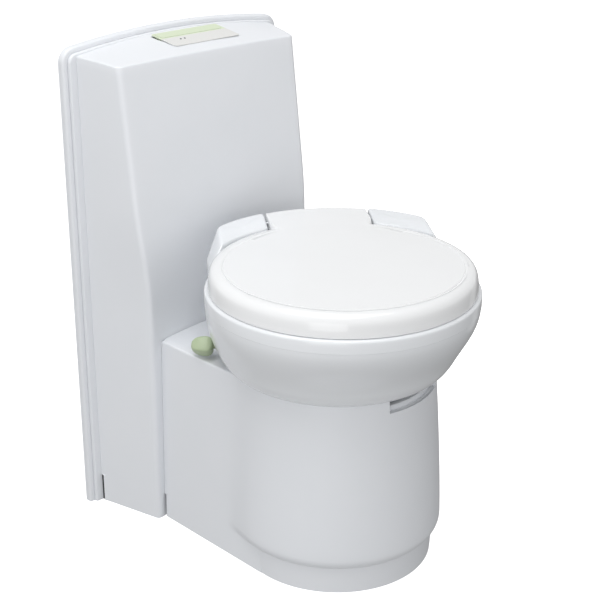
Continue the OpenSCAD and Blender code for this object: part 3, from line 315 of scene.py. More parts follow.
def column_plan(s, z, d, rear):
    """The cover's outline at height z and inset d. s runs from -1 at the left rear edge over 0 in the middle of
    the front to 1: the front curve, a corner as a quadratic curve about the sharp one, and the straight side."""
    h = np.abs(s)
    cx, cy = column_hw(z) - d, column_edge_y(z) + d
    rx, ry = column_rear_hw - d, rear
    run = np.hypot(rx - cx, ry - cy)
    p0x, p0y = cx + (rx - cx) / run * column_edge_r, cy + (ry - cy) / run * column_edge_r
    p2x = cx - column_edge_r
    p2y = column_front_y(p2x, z, d)
    fx = p2x * np.clip(h / front_share, 0, 1)
    t = np.clip((h - front_share) / (corner_share - front_share), 0, 1)
    bx = (1 - t) ** 2 * p2x + 2 * t * (1 - t) * cx + t * t * p0x
    by = (1 - t) ** 2 * p2y + 2 * t * (1 - t) * cy + t * t * p0y
    q = np.clip((h - corner_share) / (1 - corner_share), 0, 1)
    in_front, in_corner = h <= front_share, h <= corner_share
    x = np.where(in_front, fx, np.where(in_corner, bx, p0x + (rx - p0x) * q))
    y = np.where(in_front, column_front_y(fx, z, d), np.where(in_corner, by, p0y + (ry - p0y) * q))
    return np.sign(s + (s == 0)) * x, y


half = np.concatenate([np.linspace(0, front_share, 25), np.linspace(front_share, corner_share, 9)[1:],
                       np.linspace(corner_share, 1, 10)[1:]])
s = np.concatenate([-half[::-1], half[1:]])[None]
height = np.concatenate([[0, foot_gap_h - 0.8, foot_gap_h - 0.4, 100, 160, 220, 260, bay_top],
                         np.linspace(310, column_top, 40)]) / column_top
roll = np.radians(np.linspace(0, 90, 5))[1:]
level = np.concatenate([height, np.ones(len(roll))])[:, None]
roll_in = np.concatenate([0 * height, column_rim_r * (1 - np.cos(roll))])[:, None]
roll_down = np.concatenate([column_rim_r + 0 * height, column_rim_r * (1 - np.sin(roll))])[:, None]
z = level * column_top + 0 * s
# The rows end in the crowned top. Its height and the outline depend on each other, and settle in three rounds.
for _ in range(3):
    x, y = column_plan(s + 0 * level, z, roll_in, column_rear_y)
    z = level * (column_crown(x, y) - roll_down)
notched = (np.arange(len(level)) < 2)[:, None]
cover = np.stack([x, np.where(notched, np.minimum(y, column_rear_y - foot_gap), y), z], -1)
over_bay = ((np.abs(x[:-1, :-1] + x[1:, 1:]) / 2 < bay_hw) & (z[1:, 1:] < bay_top + 2)
            & (y[:-1, :-1] < bay_behind))
rim = cover[-1]
back_x = np.linspace(rim[-1, 0], rim[0, 0], 26)[1:-1]
outer = np.concatenate([rim[:, :2], np.stack([back_x, 0 * back_x + column_rear_y], -1)])
slope = np.arctan(column_rise / (column_rear_y - column_edge_y(column_top)))
fascia_y = column_rear_y - fascia_behind - fascia_d / 2


def skewed_plate(grow):
    """The fascia's outline grown outward: a rectangle with round corners, sheared sideways, as evenly spaced points
    seen from above on the slope."""
    hx, hy, r = fascia_l / 2 + grow, fascia_d / 2 + grow, fascia_corner
    turn_in = np.radians(np.linspace(0, 90, 10))
    corner = r * np.stack([np.cos(turn_in), np.sin(turn_in)], -1)
    flip = np.array([[1, 1], [-1, 1], [-1, -1], [1, -1]])
    loop = np.concatenate([(np.array([hx - r, hy - r]) + (corner if f[0] * f[1] > 0 else corner[::-1])) * f
                           for f in flip])
    loop = np.concatenate([loop, loop[:1]])
    run = np.concatenate([[0], np.cumsum(np.hypot(*np.diff(loop, axis=0).T))])
    even = np.linspace(0, run[-1], 600, endpoint=False)
    px, py = np.interp(even, run, loop[:, 0]), np.interp(even, run, loop[:, 1])
    return np.stack([fascia_x + px - py * fascia_skew / fascia_d, fascia_y + py * np.cos(slope)], -1)


# The opening is smaller than the fascia that lies over it, except round the key, which needs room to tip.
key_well = skewed_plate(key_play)
key_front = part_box("flush_key")[0][1] * 1000
recess = np.where(key_well[:, 1:] > key_front - key_reach, key_well, skewed_plate(-recess_in))
about = np.array([fascia_x, fascia_y])
bearing = np.arctan2(*(outer - about).T[::-1])
edge_bearing = np.arctan2(*(recess - about).T[::-1])
order = np.argsort(edge_bearing)
reach = np.interp(bearing, edge_bearing[order], np.hypot(*(recess - about).T)[order], period=2 * np.pi)
inner = about + reach[:, None] * np.stack([np.cos(bearing), np.sin(bearing)], -1)
crown_xy = outer + (inner - outer) * np.linspace(0, 1, 15)[:, None, None]
crown = np.concatenate([crown_xy, column_crown(crown_xy[..., 0], crown_xy[..., 1])[..., None]], -1)
crown = np.concatenate([crown, crown[-1:] - [0, 0, recess_lip]])
column = build_piece("column_cover", [(cover, False, False, ~over_bay), (crown, False, True)],
                     middle=(0, 340, 400), wall=column_wall, edge=0.5)
column.data.materials.append(abs_satin)
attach(column, "stand")
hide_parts("column_shell")

# At its foot the cover stops short of the flange on both sides. A bar of black rubber behind each gap is painted
# shade: it stands for the dark inside the gap.
strip_inset, strip_thick, strip_deep, strip_lap, strip_end = 1.3, 3.2, 9.0, 0.2, 0.4
strip_x, strip_y = column_plan(np.array([0.80, 1.0]), np.array([0.0, 0.0]), strip_inset, column_rear_y + strip_lap)
strip_back = np.array([strip_x[1], strip_y[1]])
strip_front = strip_back - (strip_back - [strip_x[0], strip_y[0]]) * strip_deep / (strip_y[1] - strip_y[0])
strip_plan = np.array([strip_front, strip_back, strip_back - [strip_thick, 0], strip_front - [strip_thick, 0]])
strip_z = np.repeat([strip_end, foot_gap_h - strip_end], 2)[:, None, None]
strip_full = np.array([0.0, 1.0, 1.0, 0.0])[:, None, None]
strip = strip_plan.mean(0) + (strip_plan - strip_plan.mean(0)) * strip_full
strip = np.concatenate([strip, strip_z + 0 * strip[..., :1]], -1)
foot_shade_strips = build_piece("cover_foot_painted_shade_strips", [(strip, False, True), (strip * [-1, 1, 1], False, True)])
# Black rubber: it swallows light, and its dull grain breaks up what little it gives back. Behind the foot gaps and
# round the lever's slot it is painted shade as well.
black_seal_and_shade = moulded("black_rubber_seal_and_painted_shade", "26292C", "1F2224", 0.62, 0.7, 5.0)
foot_shade_strips.data.materials.append(black_seal_and_shade)
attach(foot_shade_strips, "stand")

# ---- Control fascia, flush key and rear panel ----
# A grey film-covered plate on the sloping top with two smoked lenses and, along its rear, a pale green key that
# tips down to flush. Behind, a matt grey sheet panel is screwed on round the screw cap of the water filler.
print_hex, print_from, print_to = "D5DFC7", 333.8, 334.2


def dress(material, *names):
    """Gives carried CAD nodes their material."""
    for name in names:
        cad[name].data.materials.clear()
        cad[name].data.materials.append(material)


# Printed film under a matt lacquer: an even warm grey, with a hard edge where the green field starts.
fascia_grey = moulded("grey_film_matt_printed", "DFDFDD", "DADAD8", 0.42, 0.9, 2.0)
tree = fascia_grey.node_tree
place = add_node(tree, "TexCoord", {}).outputs["Object"]
behind = add_node(tree, "SeparateXYZ", {"Vector": place}).outputs["Y"]
field = add_node(tree, "MapRange", {"Value": behind, "From Min": print_from / 1000, "From Max": print_to / 1000})
print_mix = add_node(tree, "Mix", {"Factor": field.outputs["Result"], 7: linear(print_hex)}, data_type="RGBA")
film = tree.nodes["Principled BSDF"].inputs["Base Color"]
tree.links.new(film.links[0].from_socket, print_mix.inputs[6])
tree.links.new(print_mix.outputs[2], film)
# Pale green ABS, matt moulded: a chalky tint without a highlight of its own.
key_green = moulded("pale_green_abs_matt", print_hex, "CFDABF", 0.45, 1.2, 2.5)
# Smoked polycarbonate, polished: dark and glassy, with one small sharp glint.
smoked = moulded("smoked_polycarbonate_lens", "4B4F54", "43474B", 0.08, 4.0, 0.3, blotch=0.01)
# Solder mask: a dark green lacquer with a soft gloss.
board_green = moulded("green_solder_mask", "3E6B4F", "345C44", 0.35, 3.0, 1.0)
# Sheet with a pressed grain: flat grey, only slightly lighter where the light grazes it.
panel_grey = moulded("grey_sheet_matt_textured", "C9CDD2", "BFC4C9", 0.55, 0.8, 8.0)
# Natural polyethylene: milky and waxy, with a blurred sheen.
water_white = moulded("natural_polyethylene_waxy", "E4E6E2", "DADDD8", 0.38, 5.0, 6.0)
# Polypropylene from an eroded tool: its fine grain lets the edges turn grey, but never white.
black_pp = moulded("black_polypropylene_fine_grain", "3A3F45", "33373C", 0.48, 0.7, 6.0)
dark_pp = moulded("dark_grey_polypropylene_moulded", "5E656C", "555C63", 0.42, 0.9, 5.0)
# Extruded rubber hose: dull mid grey.
hose_grey = moulded("grey_rubber_hose", "6E747A", "646A70", 0.6, 1.2, 8.0)


def metal(name, colour_hex, roughness, scratch_mm):
    """A bare metal: its roughness is broken up by streaks scratch_mm apart and 17 times as long. Real marks are
    under 0.1 mm apart and are drawn coarser, so that they show."""
    steel = bpy.data.materials.new(name)
    steel.use_nodes = True
    tree = steel.node_tree
    skin = tree.nodes["Principled BSDF"]
    place = add_node(tree, "TexCoord", {}).outputs["Object"]
    drawn = add_node(tree, "Mapping", {"Vector": place, "Scale": (0.06, 1.0, 1.0)})
    streaks = add_node(tree, "TexNoise", {
        "Vector": drawn.outputs["Vector"], "Scale": 1000 / scratch_mm, "Detail": 3.0}).outputs["Fac"]
    gloss = add_node(tree, "MapRange", {"Value": streaks, "To Min": roughness - 0.1, "To Max": roughness + 0.12})
    tone = add_node(tree, "Mix", {"Factor": streaks, 6: linear(colour_hex), 7: linear("8E9296")}, data_type="RGBA")
    skin.inputs["Metallic"].default_value = 1.0
    tree.links.new(tone.outputs[2], skin.inputs["Base Color"])
    tree.links.new(gloss.outputs["Result"], skin.inputs["Roughness"])
    return steel


# Zinc plating is bluish and half dull; the ground stainless pins are brighter and show their streaks.
screw_steel = metal("zinc_plated_steel", "B4B8BB", 0.34, 0.8)
pin_steel = metal("ground_stainless_steel", "C4C6C8", 0.24, 0.5)
dress(fascia_grey, "fascia_plate")
dress(key_green, "flush_key")
dress(smoked, "indicator_lenses")
dress(board_green, "control_board")
dress(panel_grey, "back_panel")
dress(water_white, "flush_water_tank", "filler_neck")
dress(black_pp, "filler_cap", "flush_pump")
dress(hose_grey, "flush_hose")
dress(screw_steel, "panel_screws")

# ---- Base ----
# Shoulder block and round pedestal in one ABS moulding: straight drafted walls behind run into a pedestal that
# swells towards the foot and ends in a lip over the plinth. A slot in front shows the neck's bearing.
base_top, block_low_hw, block_top_hw, block_front = 316.0, 154.0, 146.0, 12.0
pedestal_top_r, pedestal_low_r, pedestal_low_z, plinth_top = 152.0, 167.0, 64.0, 45.0
pedestal_power, foot_draw, foot_power = 1.35, 8.5, 2.2
base_rim_r, valley, base_wall, base_clear = 3.0, 12.0, 4.0, 0.3
corner_gap, corner_gap_h, front_to, block_give = 0.45, 42.0, 84, 1.2
neck_hole_r, slot_from, slot_to, slot_bottom, slot_inner, neck_lip = 119.0, -15.5, 30.0, 295.0, 132.0, 4.0


def block_hw(z):
    """Half width of the shoulder block, which narrows evenly towards the top."""
    return block_low_hw + (block_top_hw - block_low_hw) * z / base_top


def base_radius(a, z):
    """Distance of the wall from the swivel axis in direction a, in degrees from the front: the larger of pedestal
    and block, blended over the valley's width. The pedestal falls from its swell by a power of the height, and
    draws in below it by another. Ahead of the axis the block gives way by block_give per degree."""
    above = np.maximum(0, (z - pedestal_low_z) / (base_top - pedestal_low_z))
    below = np.clip((pedestal_low_z - z) / (pedestal_low_z - plinth_top - 1), 0, 1)
    round_r = (pedestal_low_r - (pedestal_low_r - pedestal_top_r) * above ** pedestal_power
               - foot_draw * below ** foot_power)
    hw, b = block_hw(z), np.abs(a)
    side_r = np.where(b >= 90, hw / np.maximum(0.3, np.sin(np.radians(b))), hw - block_give * (90 - b))
    h = np.clip(0.5 + 0.5 * (round_r - side_r) / valley, 0, 1)
    both = side_r + (round_r - side_r) * h + valley * h * (1 - h)
    return np.where(z < plinth_top + 0.9, np.where(b > 90, side_r, 0 * b + hw), both)


def base_corner(z):
    """Direction of the corner where the side wall meets the column's hollow front."""
    return 90 + np.degrees(np.arctan2(column_front_y(block_hw(z), z) - base_clear, block_hw(z)))


fixed = np.unique(np.concatenate([np.arange(-front_to, front_to + 1, 3), [slot_from, slot_to]]))
ease = np.linspace(0, 1, 28)[None, 1:]
rows_z = np.concatenate([[0.3, 15, 30, corner_gap_h - 0.4, corner_gap_h, plinth_top + 0.8],
                         plinth_top + np.array([1.0, 2, 4, 7, 11, 15, 19]), np.linspace(72, slot_bottom, 22),
                         [300, 306, 310, base_top - base_rim_r]])
roll = np.radians(np.linspace(0, 90, 5))[1:]
z = np.concatenate([rows_z, base_top - base_rim_r + base_rim_r * np.sin(roll)])[:, None]
roll_in = np.concatenate([0 * rows_z, base_rim_r * (1 - np.cos(roll))])[:, None]
tail = front_to + (base_corner(z) - corner_gap * (z < corner_gap_h - 0.2) - front_to) * ease
a = np.concatenate([-tail[:, ::-1], fixed[None] + 0 * z, tail], 1)
r = base_radius(a, z + 0 * a) - roll_in
wall_points = np.stack([r * np.sin(np.radians(a)), -r * np.cos(np.radians(a)), z + 0 * a], -1)
mid_a, mid_z = (a[:-1, :-1] + a[:-1, 1:]) / 2, (z[:-1] + z[1:]) / 2
in_slot = (mid_a > slot_from) & (mid_a < slot_to) & (mid_z > slot_bottom)
under_lip = (wall_points[:-1, :-1, 1] < block_front) & (mid_z < plinth_top + 1)
top_rim = wall_points[-1]
rear_x = np.linspace(top_rim[-1, 0], top_rim[0, 0], 32)[1:-1]
rear_y = column_front_y(rear_x, base_top) - base_clear
loop = np.concatenate([top_rim[:, :2], np.stack([rear_x, rear_y], -1)])
front_r = pedestal_top_r - base_rim_r
k = np.array([0, 0.2, 0.4, (front_r - slot_inner) / (front_r - neck_hole_r), 0.8, 1.0])[:, None, None]
shelf = loop * (1 + (neck_hole_r / np.hypot(*loop.T)[:, None] - 1) * k)
shelf = np.concatenate([shelf, base_top + 0 * shelf[..., :1]], -1)
shelf = np.concatenate([shelf, shelf[-1:] - [0, 0, neck_lip]])
shelf_a = np.degrees(np.arctan2(loop[:, 0], -loop[:, 1]))
next_a = np.roll(shelf_a, -1)
slot_shelf = np.zeros((len(shelf) - 1, len(loop)), bool)
slot_shelf[:3] = (shelf_a > slot_from - 0.01) & (next_a < slot_to + 0.01) & (next_a > shelf_a)
base = build_piece("base_moulding", [(wall_points, False, False, ~(in_slot | under_lip)),
                                     (shelf, False, True, ~slot_shelf)], middle=(0, 80, 150),
                   wall=base_wall, edge=0.6)
base.data.materials.append(abs_satin)
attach(base, "stand")
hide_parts("base_shell")

# The slot has a floor of its own, with a raised ring between the lip and the bearing. Its section runs from the
# wall up over the ring to the neck, and both ends turn up against the slot's sides.
ring_end_z = 313.5
a = np.radians(np.linspace(slot_from, slot_to, 32))
a = np.concatenate([a[:1], a, a[-1:]])[None]
ring_r = np.array([149.5, 143.6, 143.4, 142.9, 141.8, 119.6])[:, None]
ring_z = np.array([293.4, 293.4, 300.0, 301.2, 301.6, 301.6])[:, None] + 0 * a
ring_z[:, [0, -1]] = ring_end_z
tray_points = np.stack([ring_r * np.sin(a), -ring_r * np.cos(a), ring_z], -1)
slot_tray = build_piece("neck_slot_floor", [(tray_points, False, False)], middle=(20, -130, 900), wall=1.4)
slot_tray.data.materials.append(abs_satin)
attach(slot_tray, "stand")
# The pan is plain grained polypropylene. Acetal is denser and smoother, so the bearing has a soft bright edge.
pan_grey = moulded("grey_polypropylene_pan", "B9BEC4", "AFB4BA", 0.5, 1.0, 8.0)
bearing_grey = moulded("pale_acetal_bearing", "D2D6DB", "C8CCD2", 0.36, 1.6, 2.0)
dress(abs_satin, "plinth")
dress(pan_grey, "floor_pan")
dress(dark_pp, "guide_rails")
dress(bearing_grey, "neck_bearing", "swivel_collar")

# ---- Bowl ----
# The bowl's outer shell is a thin gloss moulding that spreads quickly above the neck and stands under the rim
# band; a slot at the rear lets the valve lever through. It is drawn facing -Y and stored turned by bowl_angle.
bowl_angle = -35.0
shell_low, shell_top, shell_low_r, shell_top_r, shell_wall = 317.0, 436.0, 152.0, 204.0, 3.5
shell_power, shell_root, rim_ahead = 1.6, 0.50, 36.0
lever_z, lever_slot, lever_slot_h = 336.0, (90.4, 182.4), 8.0


def shell_radius(z):
    """The shell's radius at height z. With t the share of the height, it grows from the neck's radius to the top's
    as (1 - (1 - t) to the shell_power) to the shell_root: quickly at first, and not at all at the top."""
    t = (z - shell_low) / (shell_top - shell_low)
    return shell_low_r + (shell_top_r - shell_low_r) * (1 - (1 - t) ** shell_power) ** shell_root


def round_points(r, turn, z, ahead=0.0):
    """Points at radius r in the directions turn, at height z, round a centre that stands ahead of the axis."""
    return np.stack([r * np.cos(turn), -ahead + r * np.sin(turn), z + 0 * turn], -1)


rows_z = shell_low + (shell_top - shell_low) * np.linspace(0, 1, 46) ** 1.7
z = np.unique(np.concatenate([rows_z, [lever_z - lever_slot_h, lever_z + lever_slot_h]]))[:, None]
ahead = rim_ahead * ramp(lever_z + lever_slot_h, shell_top, z)
turn_deg = np.unique(np.concatenate([np.arange(0, 360, 2.5), lever_slot]))[None]
turn = np.radians(turn_deg)
shell_points = round_points(shell_radius(z), turn, z, ahead)
next_deg, mid_z = np.roll(turn_deg, -1), (z[:-1] + z[1:]) / 2
in_slot = ((turn_deg > lever_slot[0] - 0.01) & (next_deg < lever_slot[1] + 0.01) & (next_deg > turn_deg)
           & (mid_z > lever_z - lever_slot_h) & (mid_z < lever_z + lever_slot_h))
bowl = build_piece("bowl_outer_shell", [(shell_points, False, True, ~in_slot)], middle=(0, -20, 400), in_bowl=True,
                   wall=shell_wall, edge=0.5)
# The same white ABS from a polished tool: highlights stay narrow, and long soft waves bend them a little.
abs_gloss = moulded("white_abs_gloss_moulded", "EAECEF", "E6E9EC", 0.17, 3.5, 2.2)
bowl.data.materials.append(abs_gloss)
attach(bowl, "bowl")
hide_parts("bowl_shell")

# The lever's slot is edged with a black rubber grommet, a closed band that follows the slot round. Its black is also
# painted shade: it stands for the dark depth of the slot.
shade_grommet_lip, shade_grommet_out, shade_grommet_in, shade_grommet_r = 2.0, 0.5, -5.0, 175.0
there = np.linspace(lever_slot[0], lever_slot[1], 60)
along = np.radians(np.concatenate([there, there[::-1]]))
lip_deg = np.degrees(shade_grommet_lip / shade_grommet_r)
inner_along = np.radians(np.clip(np.degrees(along), lever_slot[0] + lip_deg, lever_slot[1] - lip_deg))
edge_h = lever_slot_h - np.array([0, shade_grommet_lip, shade_grommet_lip, 0])
angle = np.stack([along, inner_along, inner_along, along])
z = lever_z + np.repeat([1.0, -1.0], 60) * edge_h[:, None]
r = shell_radius(z) + np.repeat([shade_grommet_out, shade_grommet_in], 2)[:, None]
slot_shade_grommet = build_piece("lever_slot_grommet_painted_shade", [(round_points(r, angle, z), True, True)], in_bowl=True)
slot_shade_grommet.data.materials.append(black_seal_and_shade)
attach(slot_shade_grommet, "bowl")

# The liner is one polished funnel, moulded in polypropylene. It hangs from the rim and ends in a short spout above
# the valve.
outlet_r, mouth_r, liner_low, liner_top, liner_wall, liner_spout = 58.0, 148.0, 346.0, 449.7, 3.0, 4.0
t = np.linspace(0, 1, 40)[:, None] ** 1.8
r = outlet_r + (mouth_r - 1 - outlet_r) * (1 - (1 - t) ** 1.9) ** 0.55
turn = np.radians(np.arange(0, 360, 3))[None]
ahead = rim_ahead * ramp(0, 0.86, t)
z = liner_low + t * (liner_top - liner_low)
inside = round_points(r, turn, z, ahead)
outside = round_points(r + liner_wall, turn, z - liner_wall * (1 - t), ahead)[::-1]
spout_in = round_points(outlet_r, turn, liner_low - liner_spout)
spout_out = spout_in * [1 + liner_wall / outlet_r, 1 + liner_wall / outlet_r, 1]
funnel = np.concatenate([spout_in, inside, outside, spout_out])
liner = build_piece("bowl_liner_funnel", [(funnel, True, True)], in_bowl=True)
# Polished polypropylene: the brightest white of the object, with small clear highlights.
liner_white = moulded("white_polypropylene_polished", "F4F5F6", "EEF0F2", 0.14, 4.5, 1.6)
liner.data.materials.append(liner_white)
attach(liner, "bowl")
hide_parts("bowl_liner")
dress(liner_white, "outlet_tube")
dress(pan_grey, "flush_nozzle")
dress(hose_grey, "nozzle_pipe")

# ---- Rim band and hinge ears ----
# The rim snaps over shell and liner: a flat ring with a rounded outer edge and a band below it, cut straight
# behind to let the lid's tab swing. Two hollow ears behind it carry the hinge pins, tied by a low tray.
rim_top, rim_r, rim_soft, band_h, band_wall = 456.0, 204.5, 4.0, 20.0, 4.0
collar_out_r, collar_in_r, collar_h, rim_plate = 153.3, 150.3, 16.0, 5.0
hinge_y, hinge_z, hinge_back_r = 182.0, 482.0, 222.0
ear_in, ear_top_hw, ear_low_hw, ear_from = 85.5, 166.0, 187.0, 452.0
ear_top, ear_round, ear_fall, ear_fall_from, ear_square = 493.5, 4.0, 6.5, 462.0, 14
lid_gap_r, ear_clear, trough_y, cut_line_deg, cut_deg = 202.0, 0.3, 148.45, 24.87, 24.9
trough_floor, trough_top, trough_wall = 440.0, 452.0, 4.0
cut_lines = [90 - cut_line_deg, 90 + cut_line_deg]
turn = np.radians(np.unique(np.concatenate([np.arange(0, 360, 2), cut_lines])))[None]
from_back = np.abs((turn - np.pi / 2 + np.pi) % (2 * np.pi) - np.pi)
straight_r = (trough_y + rim_ahead) / np.cos(from_back)
cut_r = np.where(from_back < np.radians(cut_deg), np.minimum(rim_r, straight_r), rim_r)
soft = np.radians(np.linspace(0, 90, 5))
band_in, band_low = rim_r - band_wall, rim_top - band_h
section_r = np.concatenate([[mouth_r, mouth_r, mouth_r + 0.6, mouth_r + 2],
                            rim_r - rim_soft + rim_soft * np.sin(soft),
                            [rim_r, rim_r, rim_r - 0.6, band_in, band_in, collar_out_r, collar_out_r, collar_in_r,
                             collar_in_r]])[:, None]
section_z = np.concatenate([[rim_top - 6, rim_top - 1, rim_top - 0.3, rim_top],
                            rim_top - rim_soft + rim_soft * np.cos(soft),
                            [rim_top - 12, band_low + 0.6, band_low, band_low, rim_top - rim_plate,
                             rim_top - rim_plate, rim_top - collar_h, rim_top - collar_h, rim_top - 6]])[:, None]
r = mouth_r + (section_r - mouth_r) * (cut_r - mouth_r) / (rim_r - mouth_r)
rim_piece = build_piece("rim_band", [(round_points(r, turn, section_z, rim_ahead), True, True)], in_bowl=True)
rim_piece.data.materials.append(abs_gloss)
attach(rim_piece, "bowl")
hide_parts("rim_ring")


def ear_loop(z, d):
    """An ear's outline at height z and inset d, as points round a unit square with soft corners: across from the
    slit beside the tab to the sloping side, and back from the lid's circle to the hinge circle. Towards the lid
    the top falls by ear_fall, as the square of the distance from its rear."""
    angle = np.radians(np.linspace(0, 360, 72, endpoint=False))
    square = np.stack([np.cos(angle), np.sin(angle)], -1)
    square = 0.5 + 0.5 * square / (np.abs(square) ** ear_square).sum(-1, keepdims=True) ** (1 / ear_square)
    hw = ear_low_hw + (ear_top_hw - ear_low_hw) * np.clip((z - ear_from) / (ear_top - ear_from), 0, 1)
    x = ear_in + d + (hw - ear_in - 2 * d) * square[:, 0]
    inner_r = np.where(z < rim_top + ear_clear, rim_r + ear_clear, lid_gap_r)
    front = -rim_ahead + np.sqrt(inner_r ** 2 - x ** 2) + d
    back = np.sqrt(hinge_back_r ** 2 - x ** 2) - d
    fall = ear_fall * (1 - square[:, 1]) ** 2 * ramp(ear_fall_from, ear_top, z)
    return np.stack([x, front + (back - front) * square[:, 1], z - fall], -1)


levels = [(band_low, 0.8)]
levels += [(v, 0.0) for v in (band_low + 1, 446.0, 452.0, rim_top, rim_top + 0.5, 462.0, 470.0, 478.0, 485.0)]
levels += [(ear_top - ear_round + ear_round * np.sin(v), ear_round * (1 - np.cos(v)))
           for v in np.radians([0, 25, 50, 70, 90])]
loops = np.stack([ear_loop(v, d) for v, d in levels])
shrink = np.linspace(1, 0, 7)[1:, None, None]
top_cap = loops[-1] * shrink + loops[-1].mean(0) * (1 - shrink)
low_cap = (loops[0] * shrink + loops[0].mean(0) * (1 - shrink))[::-1]
ear = np.concatenate([low_cap, loops, top_cap])
x = np.linspace(-ear_in, ear_in, 33)[:, None]
tray_out, tray_in = np.sqrt(hinge_back_r ** 2 - x ** 2), np.sqrt((hinge_back_r - trough_wall) ** 2 - x ** 2)
beside_rim = -rim_ahead + np.sqrt((rim_r + ear_clear) ** 2 - x ** 2) * (np.abs(x) > ear_in - 0.5)
tray_front = np.maximum(trough_y + ear_clear, beside_rim)
tray_y = np.concatenate([tray_front, tray_out - 0.6, tray_out, tray_out, tray_out - 1, tray_in + 1, tray_in, tray_in,
                         tray_front], 1)
tray_z = np.array([[band_low, band_low, band_low + 0.6, trough_top - 1, trough_top, trough_top, trough_top - 1,
                    trough_floor, trough_floor]])
tray = np.stack([x + 0 * tray_y, tray_y, tray_z + 0 * x], -1)
ears = build_piece("hinge_ears_and_tray", [(ear, False, True), (ear * [-1, 1, 1], False, True),
                                           (tray, False, True)], middle=(0, 150, 460), in_bowl=True)
ears.data.materials.append(abs_gloss)
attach(ears, "bowl")
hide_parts("hinge_ears")
dress(pin_steel, "hinge_pins")

# ---- Seat ----
# A thick ring with a long opening, rounded on every edge so that it is comfortable, moulded solid and polished.
# Two arms at the rear turn on the hinge pins and four soft buffers rest on the rim.
seat_r, seat_low, seat_top, seat_hole_r, hole_ahead, hole_back = 188.0, 458.5, 474.5, 112.0, 44.0, 16.0
arm_r, seat_arm_x, seat_arm_end = 7.0, (54.5, 69.5), 134.0
turn = np.radians(np.arange(0, 360, 2))[None]
c, s = np.cos(turn), np.sin(turn)
# The opening is straight beside its middle and ends in two half circles, one ahead of it and one behind.
straight = seat_hole_r / np.maximum(1e-6, np.abs(c))
along = straight * s
off = np.where(s > 0, hole_back, -hole_ahead)
rounded = off * s + np.sqrt(seat_hole_r ** 2 - (off * c) ** 2)
hole = np.where((along < hole_back) & (along > -hole_ahead), straight, rounded)
# The ring's section as shares of its width and height, from the opening's foot over the top and out.
across = np.array([0.10, 0.03, 0.0, 0.0, 0.015, 0.05, 0.12, 0.24, 0.4, 0.6, 0.76, 0.88, 0.95, 0.985, 1.0, 1.0, 0.985,
                   0.93])[:, None]
up = np.array([0.0, 0.03, 0.12, 0.45, 0.66, 0.84, 0.95, 0.995, 1.0, 0.985, 0.93, 0.82, 0.69, 0.54, 0.38, 0.14, 0.04,
               0.0])[:, None]
r = hole + (seat_r - hole) * across
seat_points = round_points(r, turn, seat_low + (seat_top - seat_low) * up, rim_ahead)


def arm_pair(x_in, x_out, outline):
    """Two flat arms, right and left: an outline in y and z, carried across from x_in to x_out, with its ends drawn
    in to a point."""
    grow = np.array([0, 0.96, 1, 1, 0.96, 0])[:, None, None]
    yz = outline.mean(0) + (outline - outline.mean(0)) * grow
    across = [np.array([a, a, a + 0.6, b - 0.6, b, b])[:, None, None] for a, b in ((x_in, x_out), (-x_out, -x_in))]
    return [(np.concatenate([x + 0 * yz[..., :1], yz], -1), False, True) for x in across]


def knuckle(turn_from, turn_to):
    """An arc of an arm's eye round the hinge axis, in y and z, between two directions in degrees."""
    a = np.radians(np.linspace(turn_from, turn_to, 12))
    return np.stack([hinge_y + arm_r * np.cos(a), hinge_z + arm_r * np.sin(a)], -1)


seat_arm = np.concatenate([[[seat_arm_end, 466.5], [150, 465.2], [176, 465.2]], knuckle(-90, 100),
                           [[170, 486], [156, 478], [seat_arm_end, 472.5]]])
seat = build_piece("seat_ring_polished", [(seat_points, True, True)] + arm_pair(*seat_arm_x, seat_arm), in_bowl=True)
# Pressed thermoset, polished like glaze: hard, clear highlights and hardly a wave in them.
seat_gloss = moulded("white_thermoset_polished", "EFF0F1", "ECEDEE", 0.07, 6.0, 0.5, blotch=0.01)
seat.data.materials.append(seat_gloss)
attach(seat, "seat")
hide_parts("seat_ring")
# Soft rubber: pale, dull and slightly dusty.
buffer_grey = moulded("pale_grey_rubber_buffer", "C2C6CA", "B8BCC0", 0.65, 0.8, 6.0)
dress(buffer_grey, "seat_buffers", "lid_buffers")

# ---- Lid ----
# A domed cover moulded in one with a wide tab that runs back between the ears and turns on the pins. Its top is
# nearly flat, with a faint line round it where the shoulder starts, and the skirt closes over the seat.
lid_r, lid_low, lid_top, tab_hw, tab_r, tab_low = 199.0, 457.0, 494.0, 82.5, 220.0, 476.0
line_rx, line_ry, line_ahead, line_top, line_drop, tab_lift = 177.0, 174.0, 41.0, 491.6, 1.2, 1.8
hollow_r, hollow_top, tab_rise, lid_arm_x, lid_arm_top = 24.0, 489.0, 0.6, (71.5, 82.0), 490.0
# Directions run from the rear, round the middle of the lid: the tab's end, its sides, the round edge.
side_from = np.degrees(np.arctan2(tab_hw, np.sqrt(lid_r ** 2 - tab_hw ** 2)))
side_to = np.degrees(np.arctan2(tab_hw, rim_ahead + np.sqrt(tab_r ** 2 - tab_hw ** 2)))
side_steps = np.linspace(side_to, side_from, 9)[1:]
steps = np.concatenate([np.linspace(-side_to, side_to, 31), side_steps,
                        np.linspace(side_from, 360 - side_from, 150)[1:], 360 - side_steps[::-1][1:]])
b = np.abs((steps + 180) % 360 - 180)[None]
lean = np.radians(steps)[None]
q = np.radians(b)
tab_reach = rim_ahead * np.cos(q) + np.sqrt(tab_r ** 2 - (rim_ahead * np.sin(q)) ** 2)
side_reach = tab_hw / np.sin(np.maximum(q, 0.01))
reach = np.where(b <= side_to, tab_reach, np.where(b < side_from, side_reach, lid_r))
w = 1 - ramp(side_from - 1.2, side_from, b)
